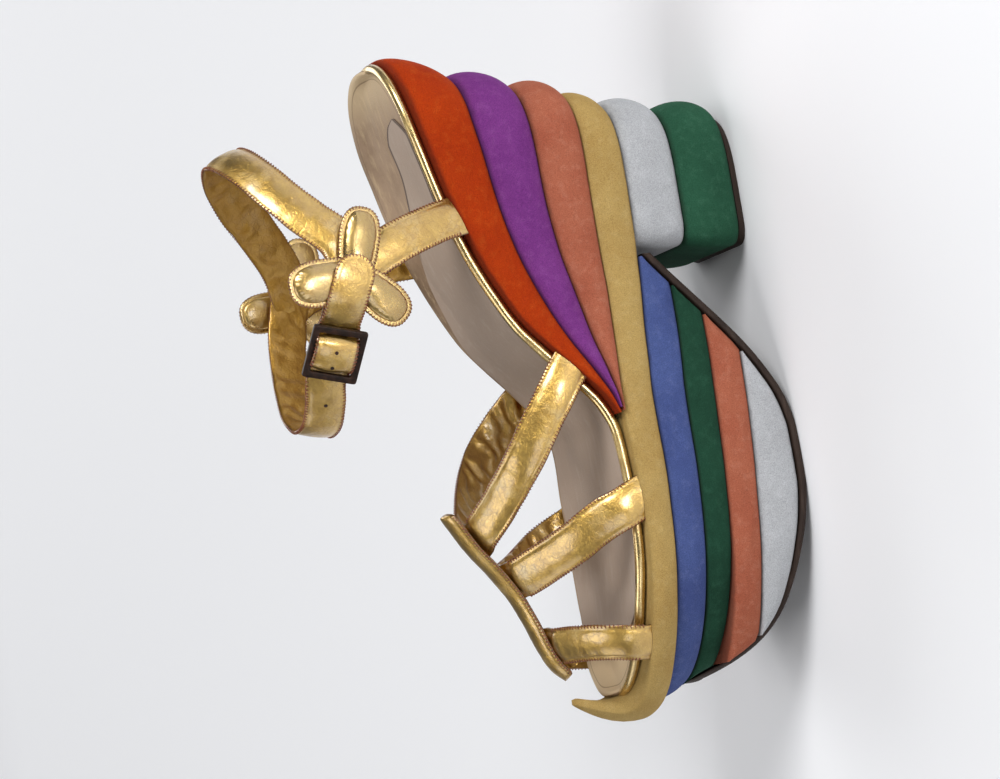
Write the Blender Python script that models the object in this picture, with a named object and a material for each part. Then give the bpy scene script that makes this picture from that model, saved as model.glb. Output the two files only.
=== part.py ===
"""Platform sandal with a layered suede sole and a strapped gold upper, left foot.

Lengths in the tables are millimetres from the back of the heel (x, to the toe), from the foot's middle line
(y, to the outer side) and from the floor (z). The finished meshes are in metres with the origin at the bottom
centre of the whole shoe.
"""
import math

import bmesh
import bpy
import numpy as np
from mathutils import Vector

MM = 0.001
GAP = 0.3                     # play between pieces that meet
LAYER_ROWS = (0.0, 0.15, 0.5, 0.85, 1.0)   # heights of a layer's rings, as a share of its thickness

# Heights of the sole's lines at its outer edge
SOLE_COLUMNS = ("x", "seat", "orange_purple", "purple_coral", "tan_top", "tan_bottom",
                "blue_green", "green_coral", "coral_pale")
SOLE_ROWS = (
    (0, 114.5, 91.0, 70.2, 53.9, 41.0, 32.0, 23.0, 12.5),
    (15, 112.4, 91.4, 70.8, 54.0, 41.0, 32.0, 23.0, 12.5),
    (30, 109.8, 91.0, 71.2, 54.2, 41.0, 32.0, 23.0, 12.5),
    (45, 106.2, 89.2, 71.0, 54.3, 41.0, 32.0, 23.0, 12.5),
    (60, 102.2, 87.0, 70.5, 54.4, 41.0, 32.0, 23.0, 12.5),
    (75, 97.2, 83.7, 69.0, 54.4, 41.2, 32.0, 23.0, 12.5),
    (90, 90.6, 78.8, 66.3, 54.4, 42.2, 32.2, 23.0, 12.5),
    (100, 85.5, 74.9, 64.6, 55.0, 43.4, 32.5, 23.2, 12.6),
    (110, 78.0, 70.3, 63.0, 55.9, 44.8, 33.2, 23.7, 12.9),
    (120, 69.6, 64.9, 60.8, 57.0, 46.0, 34.4, 24.4, 13.5),
    (130, 62.4, 60.6, 59.4, 58.2, 47.2, 35.7, 25.4, 14.3),
    (140, 59.0, 59.0, 59.0, 58.7, 47.6, 36.4, 26.3, 15.1),
    (155, 58.2, 58.2, 58.2, 58.2, 47.8, 36.9, 27.3, 16.4),
    (170, 57.8, 57.8, 57.8, 57.8, 48.4, 37.6, 28.3, 17.7),
    (185, 58.3, 58.3, 58.3, 58.3, 49.2, 38.3, 29.1, 18.9),
    (200, 59.0, 59.0, 59.0, 59.0, 49.6, 38.6, 29.8, 19.6),
    (215, 59.2, 59.2, 59.2, 59.2, 49.6, 38.8, 30.4, 19.8),
    (235, 59.4, 59.4, 59.4, 59.4, 49.2, 39.2, 31.0, 19.8),
)

# Places along x where every layer has a section, so that their faces lie evenly on each other
SECTION_X = (40.0, 52.0, 64.0, 76.0, 86.0, 94.0, 101.0, 107.0, 112.0, 117.0, 122.0, 127.0, 134.0, 141.0, 147.0,
             156.0, 164.0, 176.0, 186.0, 196.0, 204.0, 210.0, 215.0)
SECTION_ROOM = 1.5
END_SECTIONS = 7              # sections in a rounded end

# Underside of the outsole: rocker from the waist to the toe, flat under the ball
FLOOR_COLUMNS = ("x", "floor")
FLOOR_ROWS = (
    (82, 37.9), (87, 34.0), (92, 30.0), (99, 24.4), (106, 18.9), (113, 13.8), (120, 9.3), (127, 5.6),
    (134, 2.6), (141, 0.8), (147, 0.0), (156, 0.0), (164, 0.0), (176, 1.7), (186, 4.2), (196, 7.0), (205, 10.2),
    (211, 13.6), (216, 18.2), (220, 24.0), (224, 32.0),
)

# Half widths of the sole's outline, before the ends are rounded off
PLAN_COLUMNS = ("x", "lateral", "medial")
PLAN_ROWS = (
    (0, 30.0, 30.0),
    (30, 30.5, 30.5),
    (60, 30.3, 30.3),
    (80, 30.5, 29.5),
    (100, 32.6, 28.2),
    (120, 36.4, 26.6),
    (140, 39.6, 26.6),
    (160, 41.0, 29.0),
    (180, 41.0, 28.8),
    (200, 39.5, 27.4),
    (218, 37.0, 26.6),
    (235, 35.0, 26.0),
)
TOE_RUN = 58.0                # length of the rounded toe
TOE_POWER = 2.15
TOE_CENTRE = -3.0             # the toe's point lies towards the inner side
HEEL_RUN = 33.0               # length of the rounded heel
HEEL_POWER = {"seat": 2.5, "orange_purple": 2.8, "purple_coral": 3.0, "tan_top": 3.2, "tan_bottom": 3.4,
              "grey_green": 3.7, "green_lift": 3.7, "floor": 3.7}   # squarer towards the floor

# Back and front of the sole at each joint between layers, and how far the layers swell past the joints
BACK = {"seat": 5.4, "orange_purple": 14.6, "purple_coral": 20.6, "tan_top": 24.4, "tan_bottom": 29.8,
        "grey_green": 34.4, "green_lift": 35.6, "floor": 37.4}
FRONT = {"tan_top": 234.2, "tan_bottom": 231.0, "blue_top": 228.2, "blue_green": 224.4, "green_coral": 222.6,
         "outsole": 224.0}
HEEL_SWELL = 2.8
SEAT_SWELL = 2.0              # of the top wedge, whose edge is drawn in under the insole
BACK_SWELL = 1.75             # swell of the heel's back, as a share of the sides'
FOREFOOT_SWELL = 1.5
WEDGE_TIP = 1.1               # least thickness that a layer tapers to

HEEL_BREAST = {"tan_bottom": 80.0, "grey_green": 81.5, "green_lift": 83.5, "floor": 84.5}
GREY_GREEN = 22.4             # height of the joint between the heel cushions
LIFT_THICK = 3.4
PAD_TAPER = {"tan_bottom": 1.0, "grey_green": 2.2, "green_lift": 3.2, "floor": 4.0}
BREAST_RUN = 8.0              # rounding of the cushions' front corners
BREAST_SHARE = 0.74           # width left at the breast
BREAST_SWELL = 0.55           # swell of the breast, as a share of the sides'

OUTSOLE_THICK = 2.4
OUTSOLE_BACK = 82.6
CURVE_ROOM = 0.2              # more play over the outsole's bend
INSOLE_THICK = 1.9
INSOLE_INSET = 6.4            # from the sole's outline
INSOLE_BACK = 9.2
INSOLE_FRONT = 223.0
PIPING_RADIUS = 1.55
PIPING_INSET = 4.5
PIPING_BACK = 7.3
PIPING_FRONT = 224.9

# Peak of the toe: a low lip along the toe's edge and a narrow point on it
LIP_RISE = 6.0
LIP_SPREAD = 12.0
POINT_RISE = 11.5
POINT_SPREAD = 4.6
POINT_LEAN = 8.5              # how far the point curls back
LIP_INSETS = (2.6, 6.4)       # inner rings of the tan layer's top

STRAP_THICK = 2.0
STRAP_EDGE = 0.6              # worn edge of a strap

# Height of the foot's ridge over the insole, for the lie of the straps
LAST_COLUMNS = ("x", "ridge")
LAST_ROWS = ((105, 78), (120, 71), (140, 61.5), (160, 52), (170, 46), (180, 39.5), (190, 34), (200, 30),
             (210, 26), (220, 20))
LAST_BASE = 60.0

# Middle lines of the vamp's straps, from the sole up to the ridge, and the widths of the straps
VAMP_COLUMNS = ("x", "y", "z")
VAMP_STRAPS = {
    "rear_strap_outer": ((115.6, 34.2, 72.4), (122.6, 34.4, 77.6), (133.4, 31.6, 84.8), (145.0, 26.2, 91.4),
                         (156.6, 16.8, 97.8), (165.6, 6.6, 103.2), (168.8, 1.0, 104.7)),
    "rear_strap_inner": ((120.0, -25.4, 68.6), (126.0, -27.0, 75.4), (135.0, -26.6, 84.2), (145.6, -23.0, 92.4),
                         (156.6, -15.4, 99.0), (165.6, -6.8, 103.4), (168.8, -1.0, 104.7)),
    "middle_strap_outer": ((163.0, 39.6, 58.4), (165.2, 39.2, 63.4), (169.0, 35.0, 71.9), (174.0, 28.5, 79.2),
                           (178.4, 18.0, 86.0), (182.2, 7.0, 92.4), (183.4, 1.0, 94.6)),
    "middle_strap_inner": ((165.5, -27.6, 58.4), (167.6, -28.0, 63.0), (171.2, -26.2, 70.6), (175.4, -22.0, 77.6),
                           (179.2, -15.2, 84.6), (182.4, -7.0, 91.8), (183.4, -1.0, 94.6)),
    "front_strap_outer": ((209.6, 30.0, 60.0), (209.0, 29.8, 66.0), (208.0, 27.2, 71.0), (206.8, 20.0, 76.8),
                          (206.2, 11.0, 81.0), (206.0, 5.0, 83.4), (206.0, 1.0, 84.5)),
    "front_strap_inner": ((208.6, -22.2, 60.0), (208.2, -22.8, 66.0), (207.6, -21.8, 71.0), (206.8, -17.4, 76.8),
                          (206.2, -11.0, 81.0), (206.0, -5.8, 83.4), (206.0, -1.0, 84.5)),
}
VAMP_WIDTHS = {"rear": 13.2, "middle": 14.0, "front": 12.6}
CENTRE_STRIP = ((157.5, -1.0, 112.2), (163.0, -1.0, 109.2), (169.5, -1.0, 105.4), (178.0, -1.0, 99.2),
                (188.0, -1.0, 92.8), (198.0, -1.2, 88.4), (206.0, -1.5, 85.4), (212.5, -1.8, 82.0),
                (216.5, -2.0, 77.8))
CENTRE_WIDTH = 13.0
CENTRE_CROWN = 2.2            # the strip's edges bend down over the straps

# Ankle straps: middle lines, from back to front
ANKLE_CENTRE = (78.0, 0.0)
ANKLE_HALF = (47.0, 34.0)
ANKLE_FLARE = (0.42, 0.22)    # how far the straps' lower edges stand out, behind and before the centre
ANKLE_WIDTH = 13.2
LOOP_WIDTH = 14.4
QUARTER_WIDTH = 13.8
ANKLE_THICK = 1.8
BACK_LOOP = ((80.0, 33.4, 141.0), (66.4, 33.0, 144.5), (58.0, 29.6, 152.0), (49.0, 24.6, 159.0),
             (39.4, 16.8, 164.8), (33.6, 8.8, 168.2), (31.4, 0.0, 169.4), (35.0, -8.8, 167.6),
             (44.0, -17.8, 161.8), (55.0, -25.0, 152.8), (66.0, -30.4, 145.6), (80.0, -32.6, 142.0))
QUARTER_LATERAL = ((62.6, 29.5, 101.6), (63.6, 30.6, 107.0), (66.0, 32.4, 115.5), (69.5, 33.6, 125.5),
                   (74.0, 33.6, 135.0), (78.0, 33.4, 142.0))
QUARTER_MEDIAL = ((68.0, -29.3, 99.6), (68.2, -30.6, 106.0), (68.8, -32.2, 115.0), (70.5, -33.4, 125.5),
                  (74.0, -33.2, 135.0), (78.0, -32.6, 142.5))
FRONT_STRAP = ((72.0, -32.0, 142.6), (80.0, -32.4, 144.6), (90.0, -31.0, 147.2), (100.0, -26.4, 149.2),
               (111.0, -18.0, 151.6), (120.2, -9.0, 153.2), (125.0, 0.0, 153.0), (123.6, 8.0, 152.2),
               (117.4, 16.0, 152.2))
STRAP_END = ((87.6, 39.3, 146.8), (82.0, 41.2, 144.8), (77.5, 41.7, 142.8), (73.0, 41.8, 140.8))
CHAPE = ((72.0, 33.6, 141.0), (80.0, 33.2, 143.6), (88.0, 31.0, 146.0))

# Buckle: a square frame with a centre bar, the strap under its ends and over the bar
BUCKLE_CENTRE = (102.7, 30.4, 150.8)
BUCKLE_ALONG = (14.5, -9.0, 4.0)
BUCKLE_ACROSS = (5.4, 0.0, -16.4)
BUCKLE_HALF = 8.0
BUCKLE_BAR = 1.05
BUCKLE_CORNER = 1.6
BEND_ROOM = 0.3               # the strap's bends round the bars are not quite round

# Petals of the ankle ornament: turn from the toe direction upwards, reach, half width
PETAL_COLUMNS = ("turn", "reach", "half_width")
PETALS = ((196.0, 23.0, 7.6), (-44.0, 22.0, 7.8))
UPRIGHT_LATERAL = (85.0, 23.0, 8.4)
UPRIGHT_MEDIAL = (83.0, 19.6, 7.4)
PETAL_HALF_THICK = 2.3
ORNAMENT_LATERAL = (79.0, 37.0, 142.0)
ORNAMENT_MEDIAL = (78.0, -36.2, 141.0)

# Materials: colour, roughness, metalness
FINISHES = {
    "gold_leather": ((0.62, 0.42, 0.12), 0.35, 0.9),
    "petal_leather": ((0.66, 0.45, 0.12), 0.30, 0.9),
    "piping_leather": ((0.56, 0.38, 0.12), 0.38, 0.9),
    "sock_leather": ((0.50, 0.45, 0.38), 0.7, 0.0),
    "orange_suede": ((0.55, 0.10, 0.02), 0.95, 0.0),
    "purple_suede": ((0.17, 0.03, 0.26), 0.95, 0.0),
    "coral_suede": ((0.50, 0.16, 0.10), 0.95, 0.0),
    "tan_suede": ((0.48, 0.33, 0.12), 0.95, 0.0),
    "grey_suede": ((0.50, 0.55, 0.57), 0.95, 0.0),
    "green_suede": ((0.02, 0.12, 0.07), 0.95, 0.0),
    "blue_suede": ((0.09, 0.13, 0.36), 0.95, 0.0),
    "brown_leather": ((0.045, 0.03, 0.022), 0.6, 0.0),
    "dark_metal": ((0.03, 0.02, 0.017), 0.45, 0.6),
}


def table(columns: tuple, rows: tuple) -> dict:
    """Turn rows with named columns into one array for each column."""
    return dict(zip(columns, np.array(rows, dtype=float).T))


SOLE = table(SOLE_COLUMNS, SOLE_ROWS)
FLOOR = table(FLOOR_COLUMNS, FLOOR_ROWS)
PLAN = table(PLAN_COLUMNS, PLAN_ROWS)
LAST = table(LAST_COLUMNS, LAST_ROWS)


def smooth(xs: np.ndarray, ys: np.ndarray, x: np.ndarray) -> np.ndarray:
    """Read a table with cubic pieces that never overshoot its rows."""
    x = np.clip(np.asarray(x, dtype=float), xs[0], xs[-1])
    step = np.diff(xs)
    rise = np.diff(ys) / step
    slope = np.zeros_like(ys)
    same = rise[:-1] * rise[1:] > 0
    total = np.where(same, rise[:-1] + rise[1:], 1.0)
    slope[1:-1] = np.where(same, 2.0 * rise[:-1] * rise[1:] / total, 0.0)
    slope[0] = rise[0]
    slope[-1] = rise[-1]
    k = np.clip(np.searchsorted(xs, x, side="right") - 1, 0, len(step) - 1)
    t = (x - xs[k]) / step[k]
    a = (1 + 2 * t) * (1 - t) ** 2
    b = t * (1 - t) ** 2
    c = t ** 2 * (3 - 2 * t)
    d = t ** 2 * (t - 1)
    return a * ys[k] + b * step[k] * slope[k] + c * ys[k + 1] + d * step[k] * slope[k + 1]


def line(name: str, lift: float = 0.0):
    """Height of one of the sole's lines as a function of x."""
    return lambda x: smooth(SOLE["x"], SOLE[name], x) + lift


def level(height: float):
    """A flat joint."""
    return lambda x: np.full_like(np.asarray(x, dtype=float), height)


def outsole_under(x: np.ndarray) -> np.ndarray:
    """Underside of the outsole."""
    return smooth(FLOOR["x"], FLOOR["floor"], x)


def outsole_over(x: np.ndarray, room: float = 0.0) -> np.ndarray:
    """Upper side of the outsole, its thickness and the room over it measured square to the sheet."""
    inside = np.clip(x, FLOOR["x"][0] + 0.5, FLOOR["x"][-1] - 0.5)
    slope = outsole_under(inside + 0.5) - outsole_under(inside - 0.5)
    return outsole_under(x) + (OUTSOLE_THICK + room) * np.sqrt(1.0 + slope ** 2)


def platform_floor(x: np.ndarray) -> np.ndarray:
    """Lowest line of the platform's layers, over the outsole."""
    return outsole_over(x, GAP + CURVE_ROOM)


def highest(first, second):
    """The higher of two lines."""
    return lambda x: np.maximum(first(x), second(x))


def round_share(run: np.ndarray, power: float) -> np.ndarray:
    """Share of the width left at this share of a rounded end, 0 where it starts and 1 at its tip."""
    return np.clip(1.0 - np.clip(run, 0.0, 1.0) ** power, 0.0, 1.0) ** (1.0 / power)


def outline(x: np.ndarray, back: float, front: float, grow: float,
            heel_power: float = HEEL_POWER["seat"]) -> tuple:
    """Outer and inner y of the sole's outline, with rounded heel and toe ends at back and front."""
    heel = round_share((back + HEEL_RUN - x) / HEEL_RUN, heel_power)
    toe = round_share((x - front + TOE_RUN) / TOE_RUN, TOE_POWER)
    share = heel * toe
    middle = TOE_CENTRE * (1.0 - toe)
    lateral = middle + share * (smooth(PLAN["x"], PLAN["lateral"], x) + grow)
    medial = middle - share * (smooth(PLAN["x"], PLAN["medial"], x) + grow)
    return lateral, medial


def end_steps(run: float, power: float, count: int) -> np.ndarray:
    """Steps from the tip of a rounded end, even round its curve."""
    angle = np.linspace(0.0, math.pi / 2, count)
    return run * (1.0 - np.cos(angle) ** (2.0 / power))


def stations(start: float, end: float, round_back: bool, round_front: bool, ends: int,
             heel_power: float = HEEL_POWER["seat"]) -> np.ndarray:
    """Places along x of a layer's sections: the shared ones between its ends, close together where it is rounded."""
    parts = []
    low = start
    high = end
    if round_back:
        parts.append(start + end_steps(HEEL_RUN, heel_power, ends)[:-1])
        low = start + HEEL_RUN
    if round_front:
        high = end - TOE_RUN
    shared = np.array(SECTION_X)
    shared = shared[(shared > low + SECTION_ROOM) & (shared < high - SECTION_ROOM)]
    parts.append(np.concatenate(([low], shared, [high])))
    if round_front:
        parts.append(end - end_steps(TOE_RUN, TOE_POWER, ends)[-2::-1])
    return np.concatenate(parts)


def add_mesh(name: str, verts: np.ndarray, faces: list) -> bpy.types.Object:
    """Make an object from millimetre points, with its faces turned outwards."""
    mesh = bpy.data.meshes.new(name)
    mesh.from_pydata((np.asarray(verts) * MM).tolist(), [], faces)
    work = bmesh.new()
    work.from_mesh(mesh)
    bmesh.ops.recalc_face_normals(work, faces=work.faces)
    work.to_mesh(mesh)
    work.free()
    obj = bpy.data.objects.new(name, mesh)
    return obj


def slab(name: str, rings: list, shared_back: bool, shared_front: bool) -> bpy.types.Object:
    """Close a stack of rings, each given as its outer and inner side, with flat strips at both ends."""
    verts = []
    tables = []
    count = len(rings[0][0])
    for outer, inner in rings:
        base = len(verts)
        verts.extend(outer)
        left = [base + i for i in range(count)]
        right = []
        for i in range(count):
            same = (i == 0 and shared_back) or (i == count - 1 and shared_front)
            if same:
                right.append(left[i])
            else:
                right.append(len(verts))
                verts.append(inner[i])
        tables.append((left, right))
    faces = []
    loops = []
    for left, right in tables:
        loop = list(left)
        loop.extend(right[i] for i in range(count - 1, -1, -1) if right[i] != left[i])
        loops.append(loop)
    for low, high in zip(loops, loops[1:]):
        size = len(low)
        for i in range(size):
            j = (i + 1) % size
            faces.append((low[i], low[j], high[j], high[i]))
    for left, right in (tables[0], tables[-1]):
        for i in range(count - 1):
            corner = [left[i], left[i + 1], right[i + 1], right[i]]
            faces.append(tuple(dict.fromkeys(corner)))
    return add_mesh(name, np.array(verts), faces)


def side_points(x: np.ndarray, lateral: np.ndarray, medial: np.ndarray, z: np.ndarray) -> tuple:
    """The two sides of a ring as point lists."""
    return list(np.column_stack((x, lateral, z))), list(np.column_stack((x, medial, z)))


def swell(share: float, amount: float) -> float:
    """How far a padded edge stands out at this share of its thickness."""
    return amount * (1.0 - (2.0 * share - 1.0) ** 2) ** 0.6


def between(values: dict, low: str, high: str, share: float) -> float:
    """A size between two joints of the sole, at this share of the way up."""
    return values[low] + share * (values[high] - values[low])


def padded_layer(name: str, bottom, top, joints: tuple, fronts: tuple, round_back: bool, round_front: bool,
                 amount: float) -> bpy.types.Object:
    """A suede-covered layer of the sole between two lines, its edge swelling past its joints.

    Args:
        name: Name of the piece.
        bottom: Line of its underside.
        top: Line of its upper side.
        joints: Names of the joints under and over a rounded back, or the place of a straight one.
        fronts: Front end at the underside and at the upper side.
        round_back: Whether the back is the rounded heel, or cut straight across.
        round_front: Whether the front is the rounded toe, or cut straight across.
        amount: Swell of the edge.
    """
    rings = []
    for share in LAYER_ROWS:
        out = swell(share, amount)
        back = between(BACK, *joints, share) - BACK_SWELL * out if round_back else joints[0]
        power = between(HEEL_POWER, *joints, share) if round_back else HEEL_POWER["seat"]
        front = fronts[0] + share * (fronts[1] - fronts[0]) + (out if round_front else 0.0)
        x = stations(back, front, round_back, round_front, END_SECTIONS, power)
        toe = front if round_front else FRONT["tan_bottom"] + out
        heel = back if round_back else -HEEL_RUN
        lateral, medial = outline(x, heel, toe, out, power)
        z = bottom(x) + share * (top(x) - bottom(x))
        rings.append(side_points(x, lateral, medial, z))
    return slab(name, rings, round_back, round_front)


def reach_of(bottom, top, low: float, high: float) -> tuple:
    """Stretch of x on which a layer is thicker than a wedge's tip."""
    x = np.linspace(low, high, 1200)
    thick = x[top(x) - bottom(x) > WEDGE_TIP]
    return float(thick[0]), float(thick[-1])


def heel_wedge(name: str, low: str, high: str) -> bpy.types.Object:
    """A wedge of the heel, from its rounded back to its tip at the waist."""
    bottom = line(low, GAP)
    top = line(high)
    tip = reach_of(bottom, top, 60.0, 140.0)[1]
    amount = SEAT_SWELL if high == "seat" else HEEL_SWELL
    return padded_layer(name, bottom, top, (low, high), (tip, tip), True, False, amount)


def forefoot_layer(name: str, low: str, high: str) -> bpy.types.Object:
    """A platform layer over the outsole's curve, cut off by it at the waist and at the toe."""
    bottom = highest(line(low, GAP), platform_floor) if low else platform_floor
    top = line(high)
    start, stop = reach_of(bottom, top, 83.0, 223.0)
    start = max(start, 83.4)
    if low in ("blue_green", "green_coral"):
        fronts = (FRONT[low], FRONT["blue_top" if high == "tan_bottom" else high])
        return padded_layer(name, bottom, top, (start,), fronts, False, True, FOREFOOT_SWELL)
    return padded_layer(name, bottom, top, (start,), (stop, stop), False, False, FOREFOOT_SWELL)


def toe_lip(y: np.ndarray) -> np.ndarray:
    """Height of the toe's lip across the toe."""
    side = y - TOE_CENTRE
    return LIP_RISE * np.exp(-(side / LIP_SPREAD) ** 2) + POINT_RISE * np.exp(-(side / POINT_SPREAD) ** 2)


def lip_ring(x: np.ndarray, y: np.ndarray, z: np.ndarray, share: float) -> np.ndarray:
    """Raise and lean back this share of the toe's lip on one side of a ring."""
    near = np.clip((x - FRONT["tan_top"] + 26.0) / 22.0, 0.0, 1.0)
    rise = share * near * toe_lip(y)
    lean = POINT_LEAN * share * near * (rise / (LIP_RISE + POINT_RISE))
    return np.column_stack((x - lean, y, z + rise))


def tan_layer(name: str) -> bpy.types.Object:
    """The full-length layer, with the toe turned up in a peak."""
    bottom = line("tan_bottom", GAP)
    top = line("tan_top")
    rings = []
    rows = [(share, swell(share, FOREFOOT_SWELL + 0.4), max(0.0, 2.0 * share - 1.0)) for share in LAYER_ROWS]
    rows += [(1.0, -LIP_INSETS[0], 0.8), (1.0, -LIP_INSETS[1], 0.0)]
    for share, out, rise in rows:
        back = between(BACK, "tan_bottom", "tan_top", share) - BACK_SWELL * out
        front = between(FRONT, "tan_bottom", "tan_top", share) + out
        power = between(HEEL_POWER, "tan_bottom", "tan_top", share)
        x = stations(back, front, True, True, END_SECTIONS + 1, power)
        lateral, medial = outline(x, back, front, out, power)
        z = bottom(x) + share * (top(x) - bottom(x))
        rings.append((list(lip_ring(x, lateral, z, rise)), list(lip_ring(x, medial, z, rise))))
    return slab(name, rings, True, True)


def breast_share(x: np.ndarray, front: float) -> np.ndarray:
    """Narrowing of a heel cushion at its rounded front corners."""
    share = round_share((x - front + BREAST_RUN) / BREAST_RUN, 2.2)
    return BREAST_SHARE + (1.0 - BREAST_SHARE) * share


def heel_pad(name: str, bottom, top, low: str, high: str, amount: float) -> bpy.types.Object:
    """A cushion of the heel block, or its lift."""
    rings = []
    for share in LAYER_ROWS:
        out = swell(share, amount)
        back = between(BACK, low, high, share) - BACK_SWELL * out
        front = between(HEEL_BREAST, low, high, share) - BREAST_SWELL * (amount - out)
        taper = between(PAD_TAPER, low, high, share)
        power = between(HEEL_POWER, low, high, share)
        arc = back + end_steps(HEEL_RUN, power, END_SECTIONS)[:-1]
        corner = front - end_steps(BREAST_RUN, 2.2, 4)[::-1]
        x = np.concatenate((arc, np.linspace(back + HEEL_RUN, corner[0], 3)[:-1], corner))
        lateral, medial = outline(x, back, 300.0, out - taper, power)
        narrow = breast_share(x, front)
        z = bottom(x) + share * (top(x) - bottom(x))
        rings.append(side_points(x, lateral * narrow, medial * narrow, z))
    return slab(name, rings, True, False)


def outsole(name: str) -> bpy.types.Object:
    """The leather sheet under the platform, from the waist to the toe."""
    rings = []
    for share, grow in ((0.0, 0.0), (0.25, 0.5), (0.75, 0.5), (1.0, 0.0)):
        front = FRONT["outsole"] + 0.6 * grow
        x = stations(OUTSOLE_BACK, front, False, True, END_SECTIONS + 2)
        lateral, medial = outline(x, -HEEL_RUN, front, grow)
        z = outsole_under(x) + share * (outsole_over(x) - outsole_under(x))
        rings.append(side_points(x, lateral, medial, z))
    return slab(name, rings, False, True)


def insole(name: str) -> bpy.types.Object:
    """The sock over the whole sole, following the seat and the waist."""
    rings = []
    for share, grow in ((0.0, 0.0), (0.7, 0.0), (1.0, -0.5)):
        back = INSOLE_BACK - grow
        front = INSOLE_FRONT + grow
        x = stations(back, front, True, True, END_SECTIONS)
        lateral, medial = outline(x, back, front, grow - INSOLE_INSET)
        z = line("seat", GAP)(x) + share * INSOLE_THICK
        rings.append(side_points(x, lateral, medial, z))
    return slab(name, rings, True, True)


def tube(name: str, points: np.ndarray, radius: float, cyclic: bool, resolution: int) -> bpy.types.Object:
    """A round cord along a line, by a bevelled curve."""
    curve = bpy.data.curves.new(name + "_path", "CURVE")
    curve.dimensions = "3D"
    spline = curve.splines.new("POLY")
    spline.points.add(len(points) - 1)
    for node, place in zip(spline.points, points):
        node.co = (place[0] * MM, place[1] * MM, place[2] * MM, 1.0)
    spline.use_cyclic_u = cyclic
    curve.bevel_depth = radius * MM
    curve.bevel_resolution = resolution
    curve.use_fill_caps = not cyclic
    holder = bpy.data.objects.new(name + "_path", curve)
    bpy.context.scene.collection.objects.link(holder)
    bpy.context.view_layer.update()
    mesh = bpy.data.meshes.new_from_object(holder.evaluated_get(bpy.context.evaluated_depsgraph_get()))
    bpy.data.objects.remove(holder)
    mesh.name = name
    work = bmesh.new()
    work.from_mesh(mesh)
    bmesh.ops.remove_doubles(work, verts=work.verts, dist=1e-6)
    bmesh.ops.recalc_face_normals(work, faces=work.faces)
    work.to_mesh(mesh)
    work.free()
    return bpy.data.objects.new(name, mesh)


def piping(name: str) -> bpy.types.Object:
    """The gold cord round the insole."""
    x = stations(PIPING_BACK, PIPING_FRONT, True, True, END_SECTIONS)
    lateral, medial = outline(x, PIPING_BACK, PIPING_FRONT, -PIPING_INSET)
    slope = line("seat")(x + 0.5) - line("seat")(x - 0.5)
    z = line("seat")(x) + (GAP + PIPING_RADIUS) * np.sqrt(1.0 + slope ** 2)
    outer, inner = side_points(x, lateral, medial, z)
    return tube(name, np.array(outer + inner[-2:0:-1]), PIPING_RADIUS, True, 1)


def unit(vector: np.ndarray) -> np.ndarray:
    """Vectors scaled to length one."""
    return vector / np.linalg.norm(vector, axis=-1, keepdims=True)


def path(rows: tuple, steps: int) -> np.ndarray:
    """A smooth line through the rows, with even steps."""
    knots = np.array(rows, dtype=float)
    reach = np.concatenate(([0.0], np.cumsum(np.linalg.norm(np.diff(knots, axis=0), axis=1))))
    tangent = np.gradient(knots, reach, axis=0)
    want = np.linspace(0.0, reach[-1], steps)
    k = np.clip(np.searchsorted(reach, want, side="right") - 1, 0, len(reach) - 2)
    span = (reach[k + 1] - reach[k])[:, None]
    t = ((want - reach[k])[:, None]) / span
    a = (1 + 2 * t) * (1 - t) ** 2
    b = t * (1 - t) ** 2
    c = t ** 2 * (3 - 2 * t)
    d = t ** 2 * (t - 1)
    return a * knots[k] + b * span * tangent[k] + c * knots[k + 1] + d * span * tangent[k + 1]


def strap_section(width: float, thick: float, crown: float) -> np.ndarray:
    """Cross-section of a strap with worn edges: across its width and through its thickness."""
    w = width / 2
    t = thick / 2
    e = STRAP_EDGE
    outer = [(-w, -t + e), (-w, t - e), (-w + e, t)]
    if crown:
        outer.append((0.0, t))
    points = np.array(outer + [(-u, -v) for u, v in outer])
    points[:, 1] -= crown * (points[:, 0] / w) ** 2
    return points


def ribbon(name: str, line_points: np.ndarray, facing: np.ndarray, width: float, thick: float,
           footed: bool = False, round_tip: bool = False, crown: float = 0.0) -> bpy.types.Object:
    """A strap along a line, its outer face turned the way given at each point.

    Args:
        name: Name of the piece.
        line_points: Middle line of the strap.
        facing: Direction of the outer face at each point.
        width: Width of the strap.
        thick: Thickness of the leather.
        footed: Whether the first end stands on the seat of the sole.
        round_tip: Whether the last end is rounded.
        crown: How far the strap's edges bend inwards.
    """
    along = unit(np.gradient(line_points, axis=0))
    out = unit(facing - np.sum(facing * along, axis=1, keepdims=True) * along)
    across = np.cross(out, along)
    section = strap_section(width, thick, crown)
    widths = np.ones(len(line_points))
    if round_tip:
        left = np.linalg.norm(line_points - line_points[-1], axis=1)
        widths = 0.35 + 0.65 * round_share(1.0 - left / (0.5 * width), 2.0)
    rings = (line_points[:, None, :] + across[:, None, :] * (section[:, 0][None, :, None] * widths[:, None, None])
             + out[:, None, :] * section[:, 1][None, :, None])
    if footed:
        ring = rings[0]
        for _ in range(40):
            short = ring[:, 2] - line("seat", GAP)(ring[:, 0])
            ring = ring - along[0] * (short / max(along[0][2], 0.3))[:, None] * 0.7
        rings[0] = ring
    count = len(section)
    faces = []
    for i in range(len(rings) - 1):
        for j in range(count):
            k = (j + 1) % count
            faces.append((i * count + j, i * count + k, (i + 1) * count + k, (i + 1) * count + j))
    last = (len(rings) - 1) * count
    faces.append(tuple(range(count)))
    faces.append(tuple(range(last, last + count)))
    return add_mesh(name, rings.reshape(-1, 3), faces)


def edge_half(x: np.ndarray, side: int) -> np.ndarray:
    """Half width of the sole's edge on its outer side (0) or inner side (1)."""
    return np.abs(outline(x, -HEEL_RUN, FRONT["tan_top"], 0.0)[side])


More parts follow.
